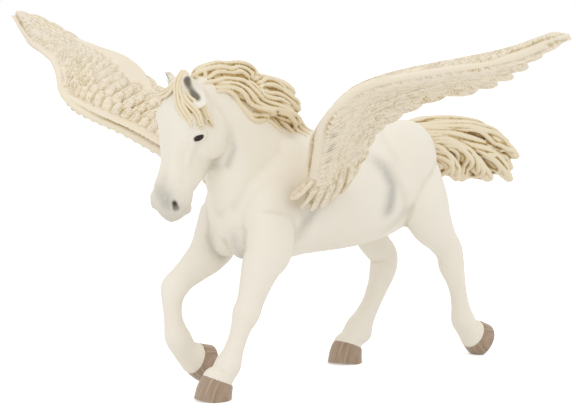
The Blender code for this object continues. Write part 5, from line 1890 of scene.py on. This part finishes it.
def seen_directly(tree):
    """1 for what the camera sees, also in a reflection or through glass."""
    path = add(tree, "ShaderNodeLightPath")
    seen = sum_of(tree, "MAXIMUM", path.outputs["Is Camera Ray"], path.outputs["Is Glossy Ray"])
    return sum_of(tree, "MAXIMUM", seen, path.outputs["Is Transmission Ray"])


def make_floor(looks):
    """A pale floor that the camera sees as white, with the figurine's soft shadow on it."""
    bpy.ops.mesh.primitive_plane_add(size=6.0, location=(0, 0, 0))
    floor = bpy.context.object
    floor.name = "floor"
    paint, tree, shader = new_paint("floor_paint", 0.9, 0.1)
    glow = sum_of(tree, "MULTIPLY", seen_directly(tree), looks.floor_glow)
    glowing = {"Emission Color": (1, 1, 1, 1), "Emission Strength": glow}
    fill(tree, shader, {"Base Color": rgba(looks.floor), **glowing})
    floor.data.materials.append(paint)


def make_world(looks):
    """White to the camera and in reflections, softer as a light."""
    world = bpy.data.worlds.new("studio")
    world.use_nodes = True
    tree = world.node_tree
    tree.nodes.clear()
    inputs = {0: seen_directly(tree)}
    for place, strength in ((1, looks.room_light), (2, 1.0)):
        light = add(tree, "ShaderNodeBackground", {"Color": (1, 1, 1, 1), "Strength": strength})
        inputs[place] = light.outputs[0]
    mix = add(tree, "ShaderNodeMixShader", inputs)
    add(tree, "ShaderNodeOutputWorld", {"Surface": mix.outputs[0]})
    bpy.context.scene.world = world


def aimed(name, data, place, way):
    """A lamp or camera at its place, which looks the given way."""
    holder = bpy.data.objects.new(name, data)
    holder.location = place
    holder.rotation_euler = way.to_track_quat("-Z", "Y").to_euler()
    bpy.context.scene.collection.objects.link(holder)
    return holder


def make_lamps(looks):
    """A soft key lamp above the camera, a weaker fill at its right and one overhead."""
    lamps = (  # name, place, share of the key's power, size
        ("key", (-0.75, -0.55, 0.75), 1.07, 0.7),
        ("fill", (0.55, -0.85, 0.45), 0.26, 0.8),
        ("top", (0.05, 0.25, 1.0), 0.66, 0.9),
    )
    for name, place, share, size in lamps:
        lamp = bpy.data.lights.new(name, "AREA")
        lamp.energy = looks.key_power * share
        lamp.size = size
        aimed(name, lamp, Vector(place), Vector(LAMP_AIM) - Vector(place))


def make_camera(looks):
    """The camera at the photograph's viewing angle."""
    camera = bpy.data.cameras.new("photo_camera")
    camera.lens = looks.focal_length
    camera.sensor_width = SENSOR_WIDTH
    camera.clip_start, camera.clip_end = 0.01, 20.0
    a, e = looks.azimuth, looks.elevation
    back = Vector((math.sin(a) * math.cos(e), -math.cos(a) * math.cos(e), math.sin(e)))
    place = Vector(CAMERA_AIM) + back * looks.distance
    bpy.context.scene.camera = aimed("photo_camera", camera, place, -back)
    bpy.context.scene.view_settings.view_transform = "Standard"


class PEGASUS_PT_panel(bpy.types.Panel):
    """Sizes, colours and steps of the pegasus figurine"""

    bl_idname = "PEGASUS_PT_panel"
    bl_label = "Pegasus Figurine"
    bl_space_type = "VIEW_3D"
    bl_region_type = "UI"
    bl_category = "Pegasus"

    def draw(self, context):
        layout = self.layout
        for kind in OPERATORS:
            layout.operator(kind.bl_idname)
        for name in LOOKS:
            box = layout.box()
            for prop in LOOKS[name].__annotations__:
                box.prop(getattr(context.scene, name), prop)


LOOKS = {
    "pegasus_body": PegasusBodyLooks,
    "pegasus_hair": PegasusHairLooks,
    "pegasus_wings": PegasusWingLooks,
    "pegasus_stage": PegasusStageLooks,
}
OPERATORS = (
    PEGASUS_OT_body,
    PEGASUS_OT_ears,
    PEGASUS_OT_eyes,
    PEGASUS_OT_hooves,
    PEGASUS_OT_hair,
    PEGASUS_OT_wings,
    PEGASUS_OT_stage,
)


def register():
    for kind in (*LOOKS.values(), *OPERATORS, PEGASUS_PT_panel):
        bpy.utils.register_class(kind)
    for name, kind in LOOKS.items():
        setattr(bpy.types.Scene, name, bpy.props.PointerProperty(type=kind))


def unregister():
    for name in LOOKS:
        delattr(bpy.types.Scene, name)
    for kind in reversed((*LOOKS.values(), *OPERATORS, PEGASUS_PT_panel)):
        bpy.utils.unregister_class(kind)


def main():
    register()
    bpy.ops.pegasus.body()
    bpy.ops.pegasus.ears()
    bpy.ops.pegasus.eyes()
    bpy.ops.pegasus.hooves()
    bpy.ops.pegasus.hair()
    bpy.ops.pegasus.wings()
    bpy.ops.pegasus.stage()


if __name__ == "__main__":
    main()
